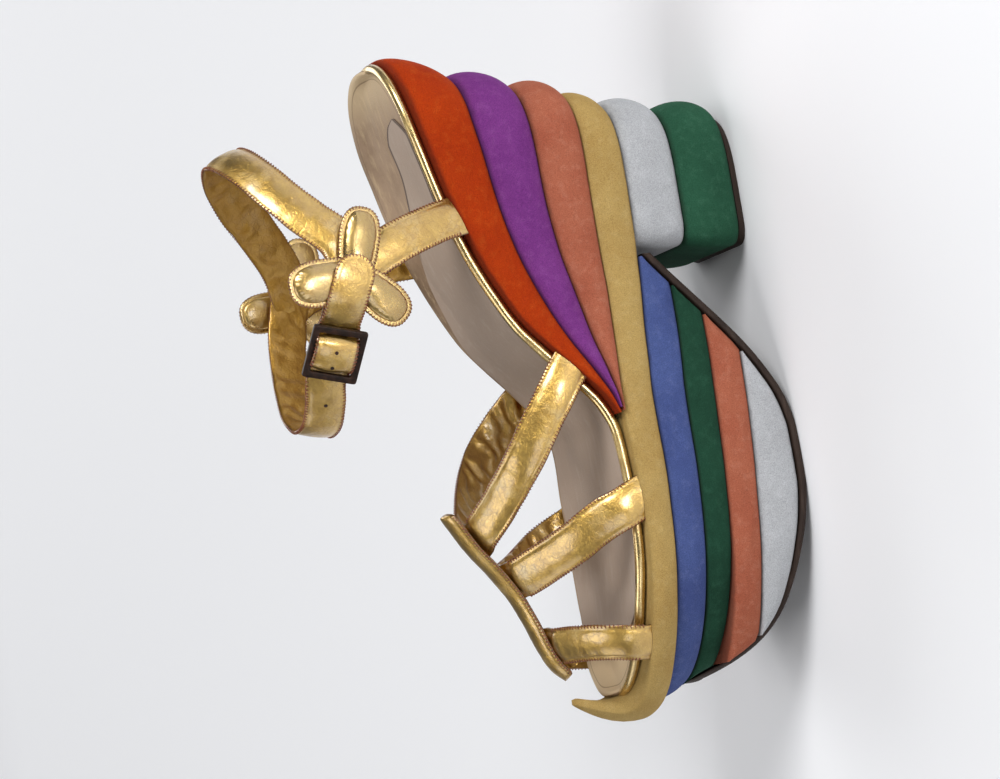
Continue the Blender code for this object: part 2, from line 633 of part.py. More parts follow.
def vamp_facing(points: np.ndarray) -> np.ndarray:
    """Outward direction of the foot's surface under the vamp."""
    x, y, z = points.T
    ridge = smooth(LAST["x"], LAST["ridge"], x)
    fall = (smooth(LAST["x"], LAST["ridge"], x + 1.0) - smooth(LAST["x"], LAST["ridge"], x - 1.0)) / 2.0
    side = np.where(y > 0, edge_half(x, 0), edge_half(x, 1))
    widen = np.where(y > 0, edge_half(x + 1.0, 0) - edge_half(x - 1.0, 0),
                     edge_half(x + 1.0, 1) - edge_half(x - 1.0, 1)) / 2.0
    up = np.maximum(z - LAST_BASE, 0.0)
    forward = -fall * up ** 2 / ridge ** 3 - widen * y ** 2 / side ** 3
    return np.column_stack((forward, y / side ** 2, up / ridge ** 2))


def ankle_facing(points: np.ndarray) -> np.ndarray:
    """Outward direction of the ankle, square to its oval, which leans back and forward at its ends."""
    x = (points[:, 0] - ANKLE_CENTRE[0]) / ANKLE_HALF[0] ** 2
    y = (points[:, 1] - ANKLE_CENTRE[1]) / ANKLE_HALF[1] ** 2
    flare = np.where(x < 0, -ANKLE_FLARE[0], ANKLE_FLARE[1]) * x
    return np.column_stack((x, y, flare))


def join(target: bpy.types.Object, tools: list, cutters: bpy.types.Collection, operation: str) -> None:
    """Apply solid pieces to a target one after another and keep them as cutters."""
    for tool in tools:
        if tool.name not in cutters.objects:
            cutters.objects.link(tool)
            tool.hide_render = True
            tool.display_type = "WIRE"
        step = target.modifiers.new(tool.name, "BOOLEAN")
        step.operation = operation
        step.solver = "EXACT"
        step.use_self = True
        step.object = tool
    bpy.context.view_layer.update()
    mesh = bpy.data.meshes.new_from_object(target.evaluated_get(bpy.context.evaluated_depsgraph_get()))
    target.modifiers.clear()
    target.data = mesh


def vamp_straps(name: str, parts: bpy.types.Collection, cutters: bpy.types.Collection) -> bpy.types.Object:
    """The centre strip and the three pairs of side straps as one piece."""
    ridge = path(CENTRE_STRIP, 15)
    strip = ribbon(name, ridge, vamp_facing(ridge), CENTRE_WIDTH, STRAP_THICK, crown=CENTRE_CROWN)
    parts.objects.link(strip)
    sides = []
    for key, rows in VAMP_STRAPS.items():
        points = path(rows, 13)
        width = VAMP_WIDTHS[key.split("_")[0]]
        sides.append(ribbon(key, points, vamp_facing(points), width, STRAP_THICK, footed=True))
    join(strip, sides, cutters, "UNION")
    return strip


def buckle_axes() -> tuple:
    """Centre of the buckle and its directions along the strap, across it and outwards."""
    along = unit(np.array(BUCKLE_ALONG))
    across = np.array(BUCKLE_ACROSS)
    across = unit(across - np.dot(across, along) * along)
    out = np.cross(along, across)
    if out[1] < 0:
        out = -out
    return np.array(BUCKLE_CENTRE), along, across, out


def front_facing(points: np.ndarray) -> np.ndarray:
    """Outward direction of the front strap: the ankle's, turned to the buckle's where it is threaded."""
    centre, _, _, out = buckle_axes()
    away = np.linalg.norm(points - centre, axis=1)
    share = np.clip((away - BUCKLE_HALF - 1.0) / BUCKLE_HALF, 0.0, 1.0)[:, None]
    return unit(ankle_facing(points)) * share + out * (1.0 - share)


def threaded_rows() -> list:
    """Middle line of the strap through the buckle: under the front bar, over the centre bar, under the back bar."""
    centre, along, _, out = buckle_axes()
    clear = BUCKLE_BAR + GAP + BEND_ROOM + ANKLE_THICK / 2
    rows = []
    for place, side in ((BUCKLE_HALF, -clear), (0.0, clear), (-BUCKLE_HALF, -clear)):
        rows.append(tuple(centre + along * place + out * side))
    return rows


def ankle_straps(name: str, parts: bpy.types.Collection, cutters: bpy.types.Collection) -> bpy.types.Object:
    """Back loop, quarter straps, front strap with its free end and the chape, joined as one piece."""
    loop = path(BACK_LOOP, 34)
    body = ribbon(name, loop, ankle_facing(loop), LOOP_WIDTH, ANKLE_THICK)
    parts.objects.link(body)
    pieces = []
    for label, rows in (("outer", QUARTER_LATERAL), ("inner", QUARTER_MEDIAL)):
        points = path(rows, 11)
        pieces.append(ribbon("quarter_strap_" + label, points, ankle_facing(points), QUARTER_WIDTH, ANKLE_THICK,
                             footed=True))
    front = path(list(FRONT_STRAP) + threaded_rows() + list(STRAP_END), 70)
    pieces.append(ribbon("front_strap", front, front_facing(front), ANKLE_WIDTH, ANKLE_THICK, round_tip=True))
    centre, along, _, out = buckle_axes()
    end = centre - out * (BUCKLE_BAR + GAP + ANKLE_THICK / 2)
    chape = path(list(CHAPE) + [tuple(end - along * 6.0 - out * 2.6), tuple(end)], 10)
    pieces.append(ribbon("chape", chape, front_facing(chape), ANKLE_WIDTH - 2.0, ANKLE_THICK))
    join(body, pieces, cutters, "UNION")
    return body


def buckle_frame(name: str, parts: bpy.types.Collection, cutters: bpy.types.Collection) -> bpy.types.Object:
    """The square frame with its centre bar."""
    centre, along, across, _ = buckle_axes()
    ring = []
    for turn in range(4):
        for step in range(4):
            angle = math.pi / 2 * (turn + step / 3.0)
            corner = math.pi / 2 * turn + math.pi / 4
            mid = (BUCKLE_HALF - BUCKLE_CORNER) * math.sqrt(2.0)
            u = mid * math.cos(corner) + BUCKLE_CORNER * math.cos(angle)
            v = mid * math.sin(corner) + BUCKLE_CORNER * math.sin(angle)
            ring.append(centre + along * u + across * v)
    frame = tube(name, np.array(ring), BUCKLE_BAR, True, 1)
    parts.objects.link(frame)
    ends = np.array([centre - across * BUCKLE_HALF, centre + across * BUCKLE_HALF])
    bar = tube("buckle_centre_bar", ends, BUCKLE_BAR * 0.85, False, 1)
    join(frame, [bar], cutters, "UNION")
    return frame


def petal(name: str, centre: tuple, turn: float, reach: float, half: float, side: float) -> bpy.types.Object:
    """One padded petal: a flattened ball drawn out from the ornament's centre."""
    mesh = bpy.data.meshes.new(name)
    work = bmesh.new()
    bmesh.ops.create_uvsphere(work, u_segments=14, v_segments=9, radius=1.0)
    work.to_mesh(mesh)
    work.free()
    obj = bpy.data.objects.new(name, mesh)
    count = len(mesh.vertices)
    ball = np.empty(count * 3)
    mesh.vertices.foreach_get("co", ball)
    ball = ball.reshape(-1, 3)
    length = reach / 2 + 1.6
    u = reach / 2 - 1.6 + ball[:, 0] * length
    v = ball[:, 1] * half * (0.86 + 0.14 * ball[:, 0])
    w = ball[:, 2] * PETAL_HALF_THICK
    c = math.cos(math.radians(turn))
    s = math.sin(math.radians(turn))
    place = np.column_stack((centre[0] + c * u - s * v, centre[1] + side * w, centre[2] + s * u + c * v))
    mesh.vertices.foreach_set("co", (place * MM).ravel())
    work = bmesh.new()
    work.from_mesh(mesh)
    bmesh.ops.recalc_face_normals(work, faces=work.faces)
    work.to_mesh(mesh)
    work.free()
    return obj


def ornament(name: str, centre: tuple, side: float, upright: tuple, parts: bpy.types.Collection,
             cutters: bpy.types.Collection) -> bpy.types.Object:
    """Three padded petals joined at the ankle."""
    made = []
    for k, (turn, reach, half) in enumerate((*PETALS, upright)):
        made.append(petal(name if k == 0 else name + "_petal_" + str(k + 1), centre, turn, reach, half, side))
    parts.objects.link(made[0])
    join(made[0], made[1:], cutters, "UNION")
    return made[0]


def finish(obj: bpy.types.Object, key: str) -> None:
    """Give a piece its material."""
    colour, rough, metal = FINISHES[key]
    material = bpy.data.materials.get(key)
    if material is None:
        material = bpy.data.materials.new(key)
        material.use_nodes = True
        shader = material.node_tree.nodes["Principled BSDF"]
        shader.inputs["Base Color"].default_value = (*colour, 1.0)
        shader.inputs["Roughness"].default_value = rough
        shader.inputs["Metallic"].default_value = metal
        material.diffuse_color = (*colour, 1.0)
    obj.data.materials.clear()
    obj.data.materials.append(material)


def centre_on_floor(pieces: list) -> None:
    """Move every piece so that the shoe's box stands centred on the origin."""
    low = Vector((1e9, 1e9, 1e9))
    high = Vector((-1e9, -1e9, -1e9))
    for obj in pieces:
        for vertex in obj.data.vertices:
            low = Vector(map(min, low, vertex.co))
            high = Vector(map(max, high, vertex.co))
    shift = Vector((-(low.x + high.x) / 2, -(low.y + high.y) / 2, -low.z))
    for obj in pieces:
        for vertex in obj.data.vertices:
            vertex.co += shift
        obj.data.update()


def main() -> None:
    """Build the sandal."""
    for obj in list(bpy.data.objects):
        bpy.data.objects.remove(obj)
    parts = bpy.data.collections.new("platform_sandal")
    cutters = bpy.data.collections.new("cutters")
    bpy.context.scene.collection.children.link(parts)
    bpy.context.scene.collection.children.link(cutters)
    made = [
        (outsole("outsole"), "brown_leather"),
        (heel_pad("heel_lift", level(0.0), level(LIFT_THICK), "floor", "green_lift", 0.0), "brown_leather"),
        (heel_pad("heel_pad_green", level(LIFT_THICK + GAP), level(GREY_GREEN), "green_lift", "grey_green",
                  HEEL_SWELL), "green_suede"),
        (heel_pad("heel_pad_grey", level(GREY_GREEN + GAP), line("tan_bottom"), "grey_green", "tan_bottom",
                  HEEL_SWELL), "grey_suede"),
        (forefoot_layer("forefoot_layer_pale", "", "coral_pale"), "grey_suede"),
        (forefoot_layer("forefoot_layer_coral", "coral_pale", "green_coral"), "coral_suede"),
        (forefoot_layer("forefoot_layer_green", "green_coral", "blue_green"), "green_suede"),
        (forefoot_layer("forefoot_layer_blue", "blue_green", "tan_bottom"), "blue_suede"),
        (tan_layer("sole_layer_tan"), "tan_suede"),
        (heel_wedge("heel_wedge_coral", "tan_top", "purple_coral"), "coral_suede"),
        (heel_wedge("heel_wedge_purple", "purple_coral", "orange_purple"), "purple_suede"),
        (heel_wedge("heel_wedge_orange", "orange_purple", "seat"), "orange_suede"),
        (insole("insole"), "sock_leather"),
        (piping("insole_piping"), "piping_leather"),
    ]
    for obj, _ in made:
        parts.objects.link(obj)
    made += [
        (vamp_straps("vamp_straps", parts, cutters), "gold_leather"),
        (ankle_straps("ankle_straps", parts, cutters), "gold_leather"),
        (ornament("ornament_lateral", ORNAMENT_LATERAL, 1.0, UPRIGHT_LATERAL, parts, cutters), "petal_leather"),
        (ornament("ornament_medial", ORNAMENT_MEDIAL, -1.0, UPRIGHT_MEDIAL, parts, cutters), "petal_leather"),
        (buckle_frame("buckle_frame", parts, cutters), "dark_metal"),
    ]
    for obj, key in made:
        finish(obj, key)
    centre_on_floor([obj for obj, _ in made])


if __name__ == "__main__":
    main()
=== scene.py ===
"""Looks of a platform sandal for the left foot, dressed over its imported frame.

Lengths are millimetres in the maker's frame: x from the back of the heel to the toe, y to the outer side of the
foot, z up from the floor. A piece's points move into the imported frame, in metres, when its mesh is made.
"""

import logging
import math
from dataclasses import dataclass, field
from enum import Enum
from typing import Callable

import bpy
import numpy as np
from mathutils import Matrix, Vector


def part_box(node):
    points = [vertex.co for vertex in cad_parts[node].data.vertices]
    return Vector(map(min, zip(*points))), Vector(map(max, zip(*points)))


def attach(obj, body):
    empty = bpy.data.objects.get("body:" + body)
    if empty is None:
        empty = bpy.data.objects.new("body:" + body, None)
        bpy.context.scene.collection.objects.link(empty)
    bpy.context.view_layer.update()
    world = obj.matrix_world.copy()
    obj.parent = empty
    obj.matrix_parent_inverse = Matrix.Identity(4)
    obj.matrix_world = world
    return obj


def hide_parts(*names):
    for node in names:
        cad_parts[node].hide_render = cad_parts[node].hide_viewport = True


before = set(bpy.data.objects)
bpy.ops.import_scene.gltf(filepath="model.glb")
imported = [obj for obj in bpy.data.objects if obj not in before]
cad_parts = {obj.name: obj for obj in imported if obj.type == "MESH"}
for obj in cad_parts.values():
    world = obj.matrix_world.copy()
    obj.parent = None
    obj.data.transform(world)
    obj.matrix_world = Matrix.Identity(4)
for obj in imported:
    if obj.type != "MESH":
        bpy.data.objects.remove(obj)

LOG = logging.getLogger("platform_sandal")
Array = np.ndarray
Socket = bpy.types.NodeSocket
Line = Callable[[Array], Array]
Pair = tuple[float, float]
Colour = tuple[float, float, float]
Noise = tuple[float, float, float]        # scale to the metre, detail and roughness
Span = tuple[float, float, float, float]  # the stretch that is read, and the one that it is mapped to

MM = 0.001
GAP = 0.3  # play between pieces that meet
BODY = "root"
SUEDE_ROWS = 21
SUEDE_MARGINS = (-5.0, -1.4)
SWELL_POWER = 1.2
SHORTEST_WAVE = 9.0
REACH_SAMPLES = 2400
PATH_SAMPLES = 900
PATH_LEAST = 12
LAST_FLOOR = 60.0
ANKLE_MIDDLE = 78.0
ANKLE_LONG = 47.0
ANKLE_WIDE = 34.0
ANKLE_LEAN = (-0.42, 0.22)  # behind the middle and in front of it

SOLE_COLUMNS = ("x", "seat", "orange_purple", "purple_coral", "tan_top", "tan_bottom",
                "blue_green", "green_coral", "coral_pale")
SOLE_ROWS = (
    (0, 114.5, 91.0, 70.2, 53.9, 41.0, 32.0, 23.0, 12.5),
    (15, 112.4, 91.4, 70.8, 54.0, 41.0, 32.0, 23.0, 12.5),
    (30, 109.8, 91.0, 71.2, 54.2, 41.0, 32.0, 23.0, 12.5),
    (45, 106.2, 89.2, 71.0, 54.3, 41.0, 32.0, 23.0, 12.5),
    (60, 102.2, 87.0, 70.5, 54.4, 41.0, 32.0, 23.0, 12.5),
    (75, 97.2, 83.7, 69.0, 54.4, 41.2, 32.0, 23.0, 12.5),
    (90, 90.6, 78.8, 66.3, 54.4, 42.2, 32.2, 23.0, 12.5),
    (100, 85.5, 74.9, 64.6, 55.0, 43.4, 32.5, 23.2, 12.6),
    (110, 78.0, 70.3, 63.0, 55.9, 44.8, 33.2, 23.7, 12.9),
    (120, 69.6, 64.9, 60.8, 57.0, 46.0, 34.4, 24.4, 13.5),
    (130, 62.4, 60.6, 59.4, 58.2, 47.2, 35.7, 25.4, 14.3),
    (140, 59.0, 59.0, 59.0, 58.7, 47.6, 36.4, 26.3, 15.1),
    (155, 58.2, 58.2, 58.2, 58.2, 47.8, 36.9, 27.3, 16.4),
    (170, 57.8, 57.8, 57.8, 57.8, 48.4, 37.6, 28.3, 17.7),
    (185, 58.3, 58.3, 58.3, 58.3, 49.2, 38.3, 29.1, 18.9),
    (200, 59.0, 59.0, 59.0, 59.0, 49.6, 38.6, 29.8, 19.6),
    (215, 59.2, 59.2, 59.2, 59.2, 49.6, 38.8, 30.4, 19.8),
    (235, 59.4, 59.4, 59.4, 59.4, 49.2, 39.2, 31.0, 19.8),
)
FLOOR_COLUMNS = ("x", "floor")
FLOOR_ROWS = (
    (82, 37.9), (87, 34.0), (92, 30.0), (99, 24.4), (106, 18.9), (113, 13.8), (120, 9.3), (127, 5.6),
    (134, 2.6), (141, 0.8), (147, 0.0), (156, 0.0), (164, 0.0), (176, 1.7), (186, 4.2), (196, 7.0), (205, 10.2),
    (211, 13.6), (216, 18.2), (220, 24.0), (224, 32.0),
)
PLAN_COLUMNS = ("x", "lateral", "medial")
PLAN_ROWS = (
    (0, 30.0, 30.0), (30, 30.5, 30.5), (60, 30.3, 30.3), (80, 30.5, 29.5), (100, 32.6, 28.2), (120, 36.4, 26.6),
    (140, 39.6, 26.6), (160, 41.0, 29.0), (180, 41.0, 28.8), (200, 39.5, 27.4), (218, 37.0, 26.6), (235, 35.0, 26.0),
)
LAST_COLUMNS = ("x", "ridge")
LAST_ROWS = ((105, 78), (120, 71), (140, 61.5), (160, 52), (170, 46), (180, 39.5), (190, 34), (200, 30),
             (210, 26), (220, 20))
SOCK_COLUMNS = ("x", "inner")
SOCK_ROWS = ((26, 5.0), (28, 0.6), (34, 0.2), (41, 0.0), (54, -5.0), (66, -12.0), (80, -17.5), (95, -19.5),
             (110, -21.0), (130, -23.5), (150, -26.0), (175, -28.0), (200, -26.0), (212, -20.0))


@dataclass(frozen=True)
class Curve:
    """A line through table rows, in cubic pieces that never overshoot them."""

    xs: Array
    ys: Array

    def __call__(self, x: Array) -> Array:
        """Read the line: Hermite pieces whose slopes are harmonic means of the rises on either side.

        Args:
            x: Places along the table's first column.

        Returns:
            The heights there.
        """
        x = np.clip(np.asarray(x, dtype=float), self.xs[0], self.xs[-1])
        step = np.diff(self.xs)
        rise = np.diff(self.ys) / step
        same = rise[:-1] * rise[1:] > 0
        total = np.where(same, rise[:-1] + rise[1:], 1.0)
        slope = np.concatenate(([rise[0]], np.where(same, 2.0 * rise[:-1] * rise[1:] / total, 0.0), [rise[-1]]))
        k = np.clip(np.searchsorted(self.xs, x, side="right") - 1, 0, len(step) - 1)
        t = (x - self.xs[k]) / step[k]
        a, b, c, d = hermite(t)
        return a * self.ys[k] + b * step[k] * slope[k] + c * self.ys[k + 1] + d * step[k] * slope[k + 1]


def hermite(t: Array) -> tuple[Array, Array, Array, Array]:
    """Weights of a cubic piece at share t: first value, first slope, second value, second slope."""
    return (1 + 2 * t) * (1 - t) ** 2, t * (1 - t) ** 2, t ** 2 * (3 - 2 * t), t ** 2 * (t - 1)


def curves(columns: tuple[str, ...], rows: tuple) -> dict[str, Curve]:
    """Turn rows with named columns into one line for each column after the first."""
    values = np.array(rows, dtype=float).T
    return {name: Curve(values[0], column) for name, column in zip(columns[1:], values[1:])}


SOLE = curves(SOLE_COLUMNS, SOLE_ROWS)
FLOOR = curves(FLOOR_COLUMNS, FLOOR_ROWS)
PLAN = curves(PLAN_COLUMNS, PLAN_ROWS)
LAST = curves(LAST_COLUMNS, LAST_ROWS)
SOCK = curves(SOCK_COLUMNS, SOCK_ROWS)


def unit(vector: Array) -> Array:
    """Vectors scaled to length one."""
    return vector / np.linalg.norm(vector, axis=-1, keepdims=True)


def lengths(points: Array) -> Array:
    """Length along a polyline up to each of its points."""
    return np.concatenate(([0.0], np.cumsum(np.linalg.norm(np.diff(points, axis=0), axis=1))))


def around(count: int) -> Array:
    """Even turns round a circle, without the one that closes it."""
    return np.linspace(0.0, 2.0 * math.pi, count + 1)[:-1]


def squared_circle(turn: Array, power: float) -> tuple[Array, Array]:
    """A unit circle pressed towards a square: cosine and sine with their sizes raised to 2 / power."""
    c, s = np.cos(turn), np.sin(turn)
    return np.sign(c) * np.abs(c) ** (2.0 / power), np.sign(s) * np.abs(s) ** (2.0 / power)


def between(low: Array | float, high: Array | float, share: Array | float) -> Array | float:
    """Value at a share of the way from low to high."""
    return low + share * (high - low)


def ease(low: float, high: float, value: Array) -> Array:
    """Smooth step from 0 at low to 1 at high: 3t^2 - 2t^3."""
    t = np.clip((np.asarray(value, dtype=float) - low) / (high - low), 0.0, 1.0)
    return t * t * (3.0 - 2.0 * t)


def ripple(a: Array, b: Array, seed: int, shortest: float, longest: float, waves: int = 16) -> Array:
    """Soft random relief over the plane (a, b): a sum of sines with random direction, length and phase.

    Args:
        a: First coordinate in millimetres.
        b: Second coordinate in millimetres.
        seed: Seed of the draws.
        shortest: Shortest wave length.
        longest: Longest wave length.
        waves: Number of sines.

    Returns:
        Relief with a mean square of about one.
    """
    rng = np.random.default_rng(seed)
    turn = rng.uniform(0.0, 2.0 * math.pi, waves)
    length = np.exp(rng.uniform(math.log(shortest), math.log(longest), waves))
    phase = rng.uniform(0.0, 2.0 * math.pi, waves)
    a, b = np.broadcast_arrays(np.asarray(a, dtype=float), np.asarray(b, dtype=float))
    wave = 2.0 * math.pi / length
    angle = a[..., None] * (wave * np.cos(turn)) + b[..., None] * (wave * np.sin(turn)) + phase
    return np.sin(angle).sum(axis=-1) * math.sqrt(2.0 / waves)


def maker_origin() -> Array:
    """Maker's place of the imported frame's origin, from two nodes whose middles are known."""
    low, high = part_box("insole")
    x = 0.5 * (Footbed.insole_back + Footbed.insole_front) - 0.5 * (low.x + high.x) / MM
    low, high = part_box("ornament_lateral")
    y = ORNAMENT_LATERAL[1] - 0.5 * (low.y + high.y) / MM
    return np.array((x, y, 0.0))


class Cap(Enum):
    """How an end row of a surface is closed."""

    NONE = "none"
    FAN = "fan"
    STRIP = "strip"


@dataclass
class Surface:
    """A grid of points, rows by columns, whose columns close on themselves.

    Attributes:
        points: Rows by columns by three, in millimetres.
        edge: Closeness to an edge from 0 to 1, over rows and columns.
        start: How the first row is closed.
        end: How the last row is closed.
        ring: Whether the rows close on themselves too.
        round_back: Whether the first column is a tip that both sides share, for strips.
        inside: Share of the lining that shows, over rows and columns.
    """

    points: Array
    edge: Array | float
    start: Cap = Cap.NONE
    end: Cap = Cap.NONE
    ring: bool = False
    round_back: bool = True
    inside: Array | float = 0.0

    def strip(self, row: int) -> list[tuple[int, ...]]:
        """Faces across a ring, from each point of its outer side to the one opposite.

        Args:
            row: Row of the ring.

        Returns:
            Quads, and triangles at shared tips, wound against the first row's sides.
        """
        cols = self.points.shape[1]
        half = np.arange((cols + 2) // 2 if self.round_back else (cols + 1) // 2)
        other = (cols - half) % cols if self.round_back else cols - 1 - half
        base = row * cols
        quads = np.column_stack((half[1:], half[:-1], other[:-1], other[1:])) + base
        return [tuple(dict.fromkeys(q)) for q in quads.tolist() if len(set(q)) > 2]

    def fan(self, row: int, hub: int) -> list[tuple[int, ...]]:
        """Triangles from a ring to a hub point, wound against the first row's sides."""
        cols = self.points.shape[1]
        ring = np.arange(cols) + row * cols
        return np.column_stack((np.roll(ring, -1), ring, np.full(cols, hub))).tolist()

    def shell(self) -> tuple[Array, Array, Array, list]:
        """Close the surface and turn its faces outwards.

        The sides are the quads between neighbouring rows and columns; the sign of the enclosed volume, the sum of
        v0 . (v1 x v2) / 6 over the triangles, says whether to turn them.

        Returns:
            Points, closeness to an edge, lining share and faces.
        """
        rows, cols = self.points.shape[:2]
        index = np.arange(rows * cols).reshape(rows, cols)
        index = np.hstack((index, index[:, :1]))
        if self.ring:
            index = np.vstack((index, index[:1]))
        sides = np.stack((index[:-1, :-1], index[:-1, 1:], index[1:, 1:], index[1:, :-1]), axis=-1).reshape(-1, 4)
        points = self.points.reshape(-1, 3)
        edge, inside = (np.broadcast_to(value, (rows, cols)).reshape(-1) for value in (self.edge, self.inside))
        faces = sides.tolist()
        for cap, row, turn in ((self.start, 0, 1), (self.end, rows - 1, -1)):
            if cap is Cap.FAN:
                ring = slice(row * cols, (row + 1) * cols)
                faces += [f[::turn] for f in self.fan(row, len(points))]
                points = np.vstack((points, points[ring].mean(axis=0)))
                edge = np.append(edge, edge[ring].mean())
                inside = np.append(inside, inside[ring].mean())
            elif cap is Cap.STRIP:
                faces += [f[::turn] for f in self.strip(row)]
        fans = np.vstack((sides[:, [0, 1, 2]], sides[:, [0, 2, 3]]))
        corner = points[fans] - points.mean(axis=0)
        if np.einsum("ij,ij->", corner[:, 0], np.cross(corner[:, 1], corner[:, 2])) < 0:
            faces = [f[::-1] for f in faces]
        return points, edge, inside, faces


def put_in_scene(name: str, data: bpy.types.ID) -> bpy.types.Object:
    """Make an object of a mesh, a lamp or a camera and link it to the scene."""
    obj = bpy.data.objects.new(name, data)
    bpy.context.scene.collection.objects.link(obj)
    return obj


@dataclass
class Piece:
    """One visible piece: its surfaces, its finish and what it stands for."""

    name: str
    surfaces: list[Surface]
    material: bpy.types.Material
    slot: str | None = None
    nodes: tuple[str, ...] = ()
    sharp: float = 50.0

    def build(self, origin: Array) -> bpy.types.Object:
        """Make the mesh, dress it and let it ride on the frame.

        Args:
            origin: Maker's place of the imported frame's origin.

        Returns:
            The new object.
        """
        points, edges, insides, faces, base = [], [], [], [], 0
        for surface in self.surfaces:
            spots, edge, inside, quads = surface.shell()
            points.append(spots)
            edges.append(edge)
            insides.append(inside)
            faces += [tuple(i + base for i in q) for q in quads]
            base += len(spots)
        mesh = bpy.data.meshes.new(self.name)
        mesh.from_pydata(((np.vstack(points) - origin) * MM).tolist(), [], faces)
        for label, values in (("near_edge", edges), ("inside", insides)):
            attribute = mesh.attributes.new(label, "FLOAT", "POINT")
            attribute.data.foreach_set("value", np.concatenate(values).astype(np.float32))
        mesh.polygons.foreach_set("use_smooth", np.ones(len(mesh.polygons), dtype=bool))
        mesh.set_sharp_from_angle(angle=math.radians(self.sharp))
        mesh.materials.append(self.material)
        mesh.update()
        obj = put_in_scene(self.name, mesh)
        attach(obj, BODY)
        if self.nodes:
            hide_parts(*self.nodes)
        LOG.info("%s: %d faces", self.name, len(faces))
        return obj


class Tree:
    """Places and links the nodes of one shader tree."""

    def __init__(self, tree: bpy.types.NodeTree) -> None:
        """Hold the tree."""
        self.tree = tree

    def fill(self, node: bpy.types.Node, inputs: dict) -> None:
        """Link or set a node's inputs.

        Args:
            node: The node.
            inputs: Socket names or numbers with a value or the socket to link.
        """
        for key, value in inputs.items():
            if isinstance(value, Socket):
                self.tree.links.new(value, node.inputs[key])
            else:
                node.inputs[key].default_value = value

    def add(self, kind: str, inputs: dict | None = None, **settings: object) -> bpy.types.Node:
        """Place a node, set its properties and link or set its inputs.

        Args:
            kind: Node type.
            inputs: Socket names or numbers with a value or the socket to link.
            settings: Properties of the node.

        Returns:
            The node.
        """
        node = self.tree.nodes.new(kind)
        for name, value in settings.items():
            setattr(node, name, value)
        self.fill(node, inputs or {})
        return node

    def noise(self, vector: Socket, scale: float, detail: float, rough: float) -> Socket:
        """Noise value over a vector."""
        return self.add("ShaderNodeTexNoise", {"Vector": vector, "Scale": scale, "Detail": detail,
                                               "Roughness": rough}).outputs[0]

    def cells(self, vector: Socket, scale: float) -> Socket:
        """Distance to the nearest border between random cells."""
        return self.add("ShaderNodeTexVoronoi", {"Vector": vector, "Scale": scale},
                        feature="DISTANCE_TO_EDGE").outputs["Distance"]

    def span(self, value: Socket, low: float, high: float, to_low: float = 0.0,
             to_high: float = 1.0) -> Socket:
        """Map a value's stretch to another, clamped."""
        return self.add("ShaderNodeMapRange", {0: value, 1: low, 2: high, 3: to_low, 4: to_high}).outputs[0]

    def calc(self, operation: str, first: object, second: object) -> Socket:
        """Arithmetic on two values."""
        return self.add("ShaderNodeMath", {0: first, 1: second}, operation=operation).outputs[0]

    def times(self, first: object, second: object) -> Socket:
        """Product of two values."""
        return self.calc("MULTIPLY", first, second)

    def total(self, first: Socket, *others: Socket) -> Socket:
        """Sum of values."""
        for other in others:
            first = self.calc("ADD", first, other)
        return first

    def mix(self, share: object, first: object, second: object, blend: str = "MIX") -> Socket:
        """Mix two colours."""
        return self.add("ShaderNodeMix", {0: share, 6: first, 7: second}, data_type="RGBA",
                        blend_type=blend).outputs[2]


SOCKETS = {"colour": "NodeSocketColor", "value": "NodeSocketFloat", "vector": "NodeSocketVector"}


class Effect:
    """A shader node group with named inputs and outputs."""

    def __init__(self, name: str, inputs: dict[str, str], outputs: dict[str, str]) -> None:
        """Make the group and its sockets.

        Args:
            name: Name of the group.
            inputs: Socket names with their kinds.
            outputs: Socket names with their kinds.
        """
        self.group = bpy.data.node_groups.new(name, "ShaderNodeTree")
        for names, way in ((inputs, "INPUT"), (outputs, "OUTPUT")):
            for label, kind in names.items():
                self.group.interface.new_socket(name=label, in_out=way, socket_type=SOCKETS[kind])
        self.tree = Tree(self.group)
        self.given = self.group.nodes.new("NodeGroupInput").outputs
        self.result = self.group.nodes.new("NodeGroupOutput").inputs

    def put(self, **sockets: Socket) -> None:
        """Link values to the group's outputs."""
        for name, socket in sockets.items():
            self.group.links.new(socket, self.result[name])


def opaque(colour: Colour) -> tuple[float, float, float, float]:
    """A colour with full alpha."""
    return (*colour, 1.0)


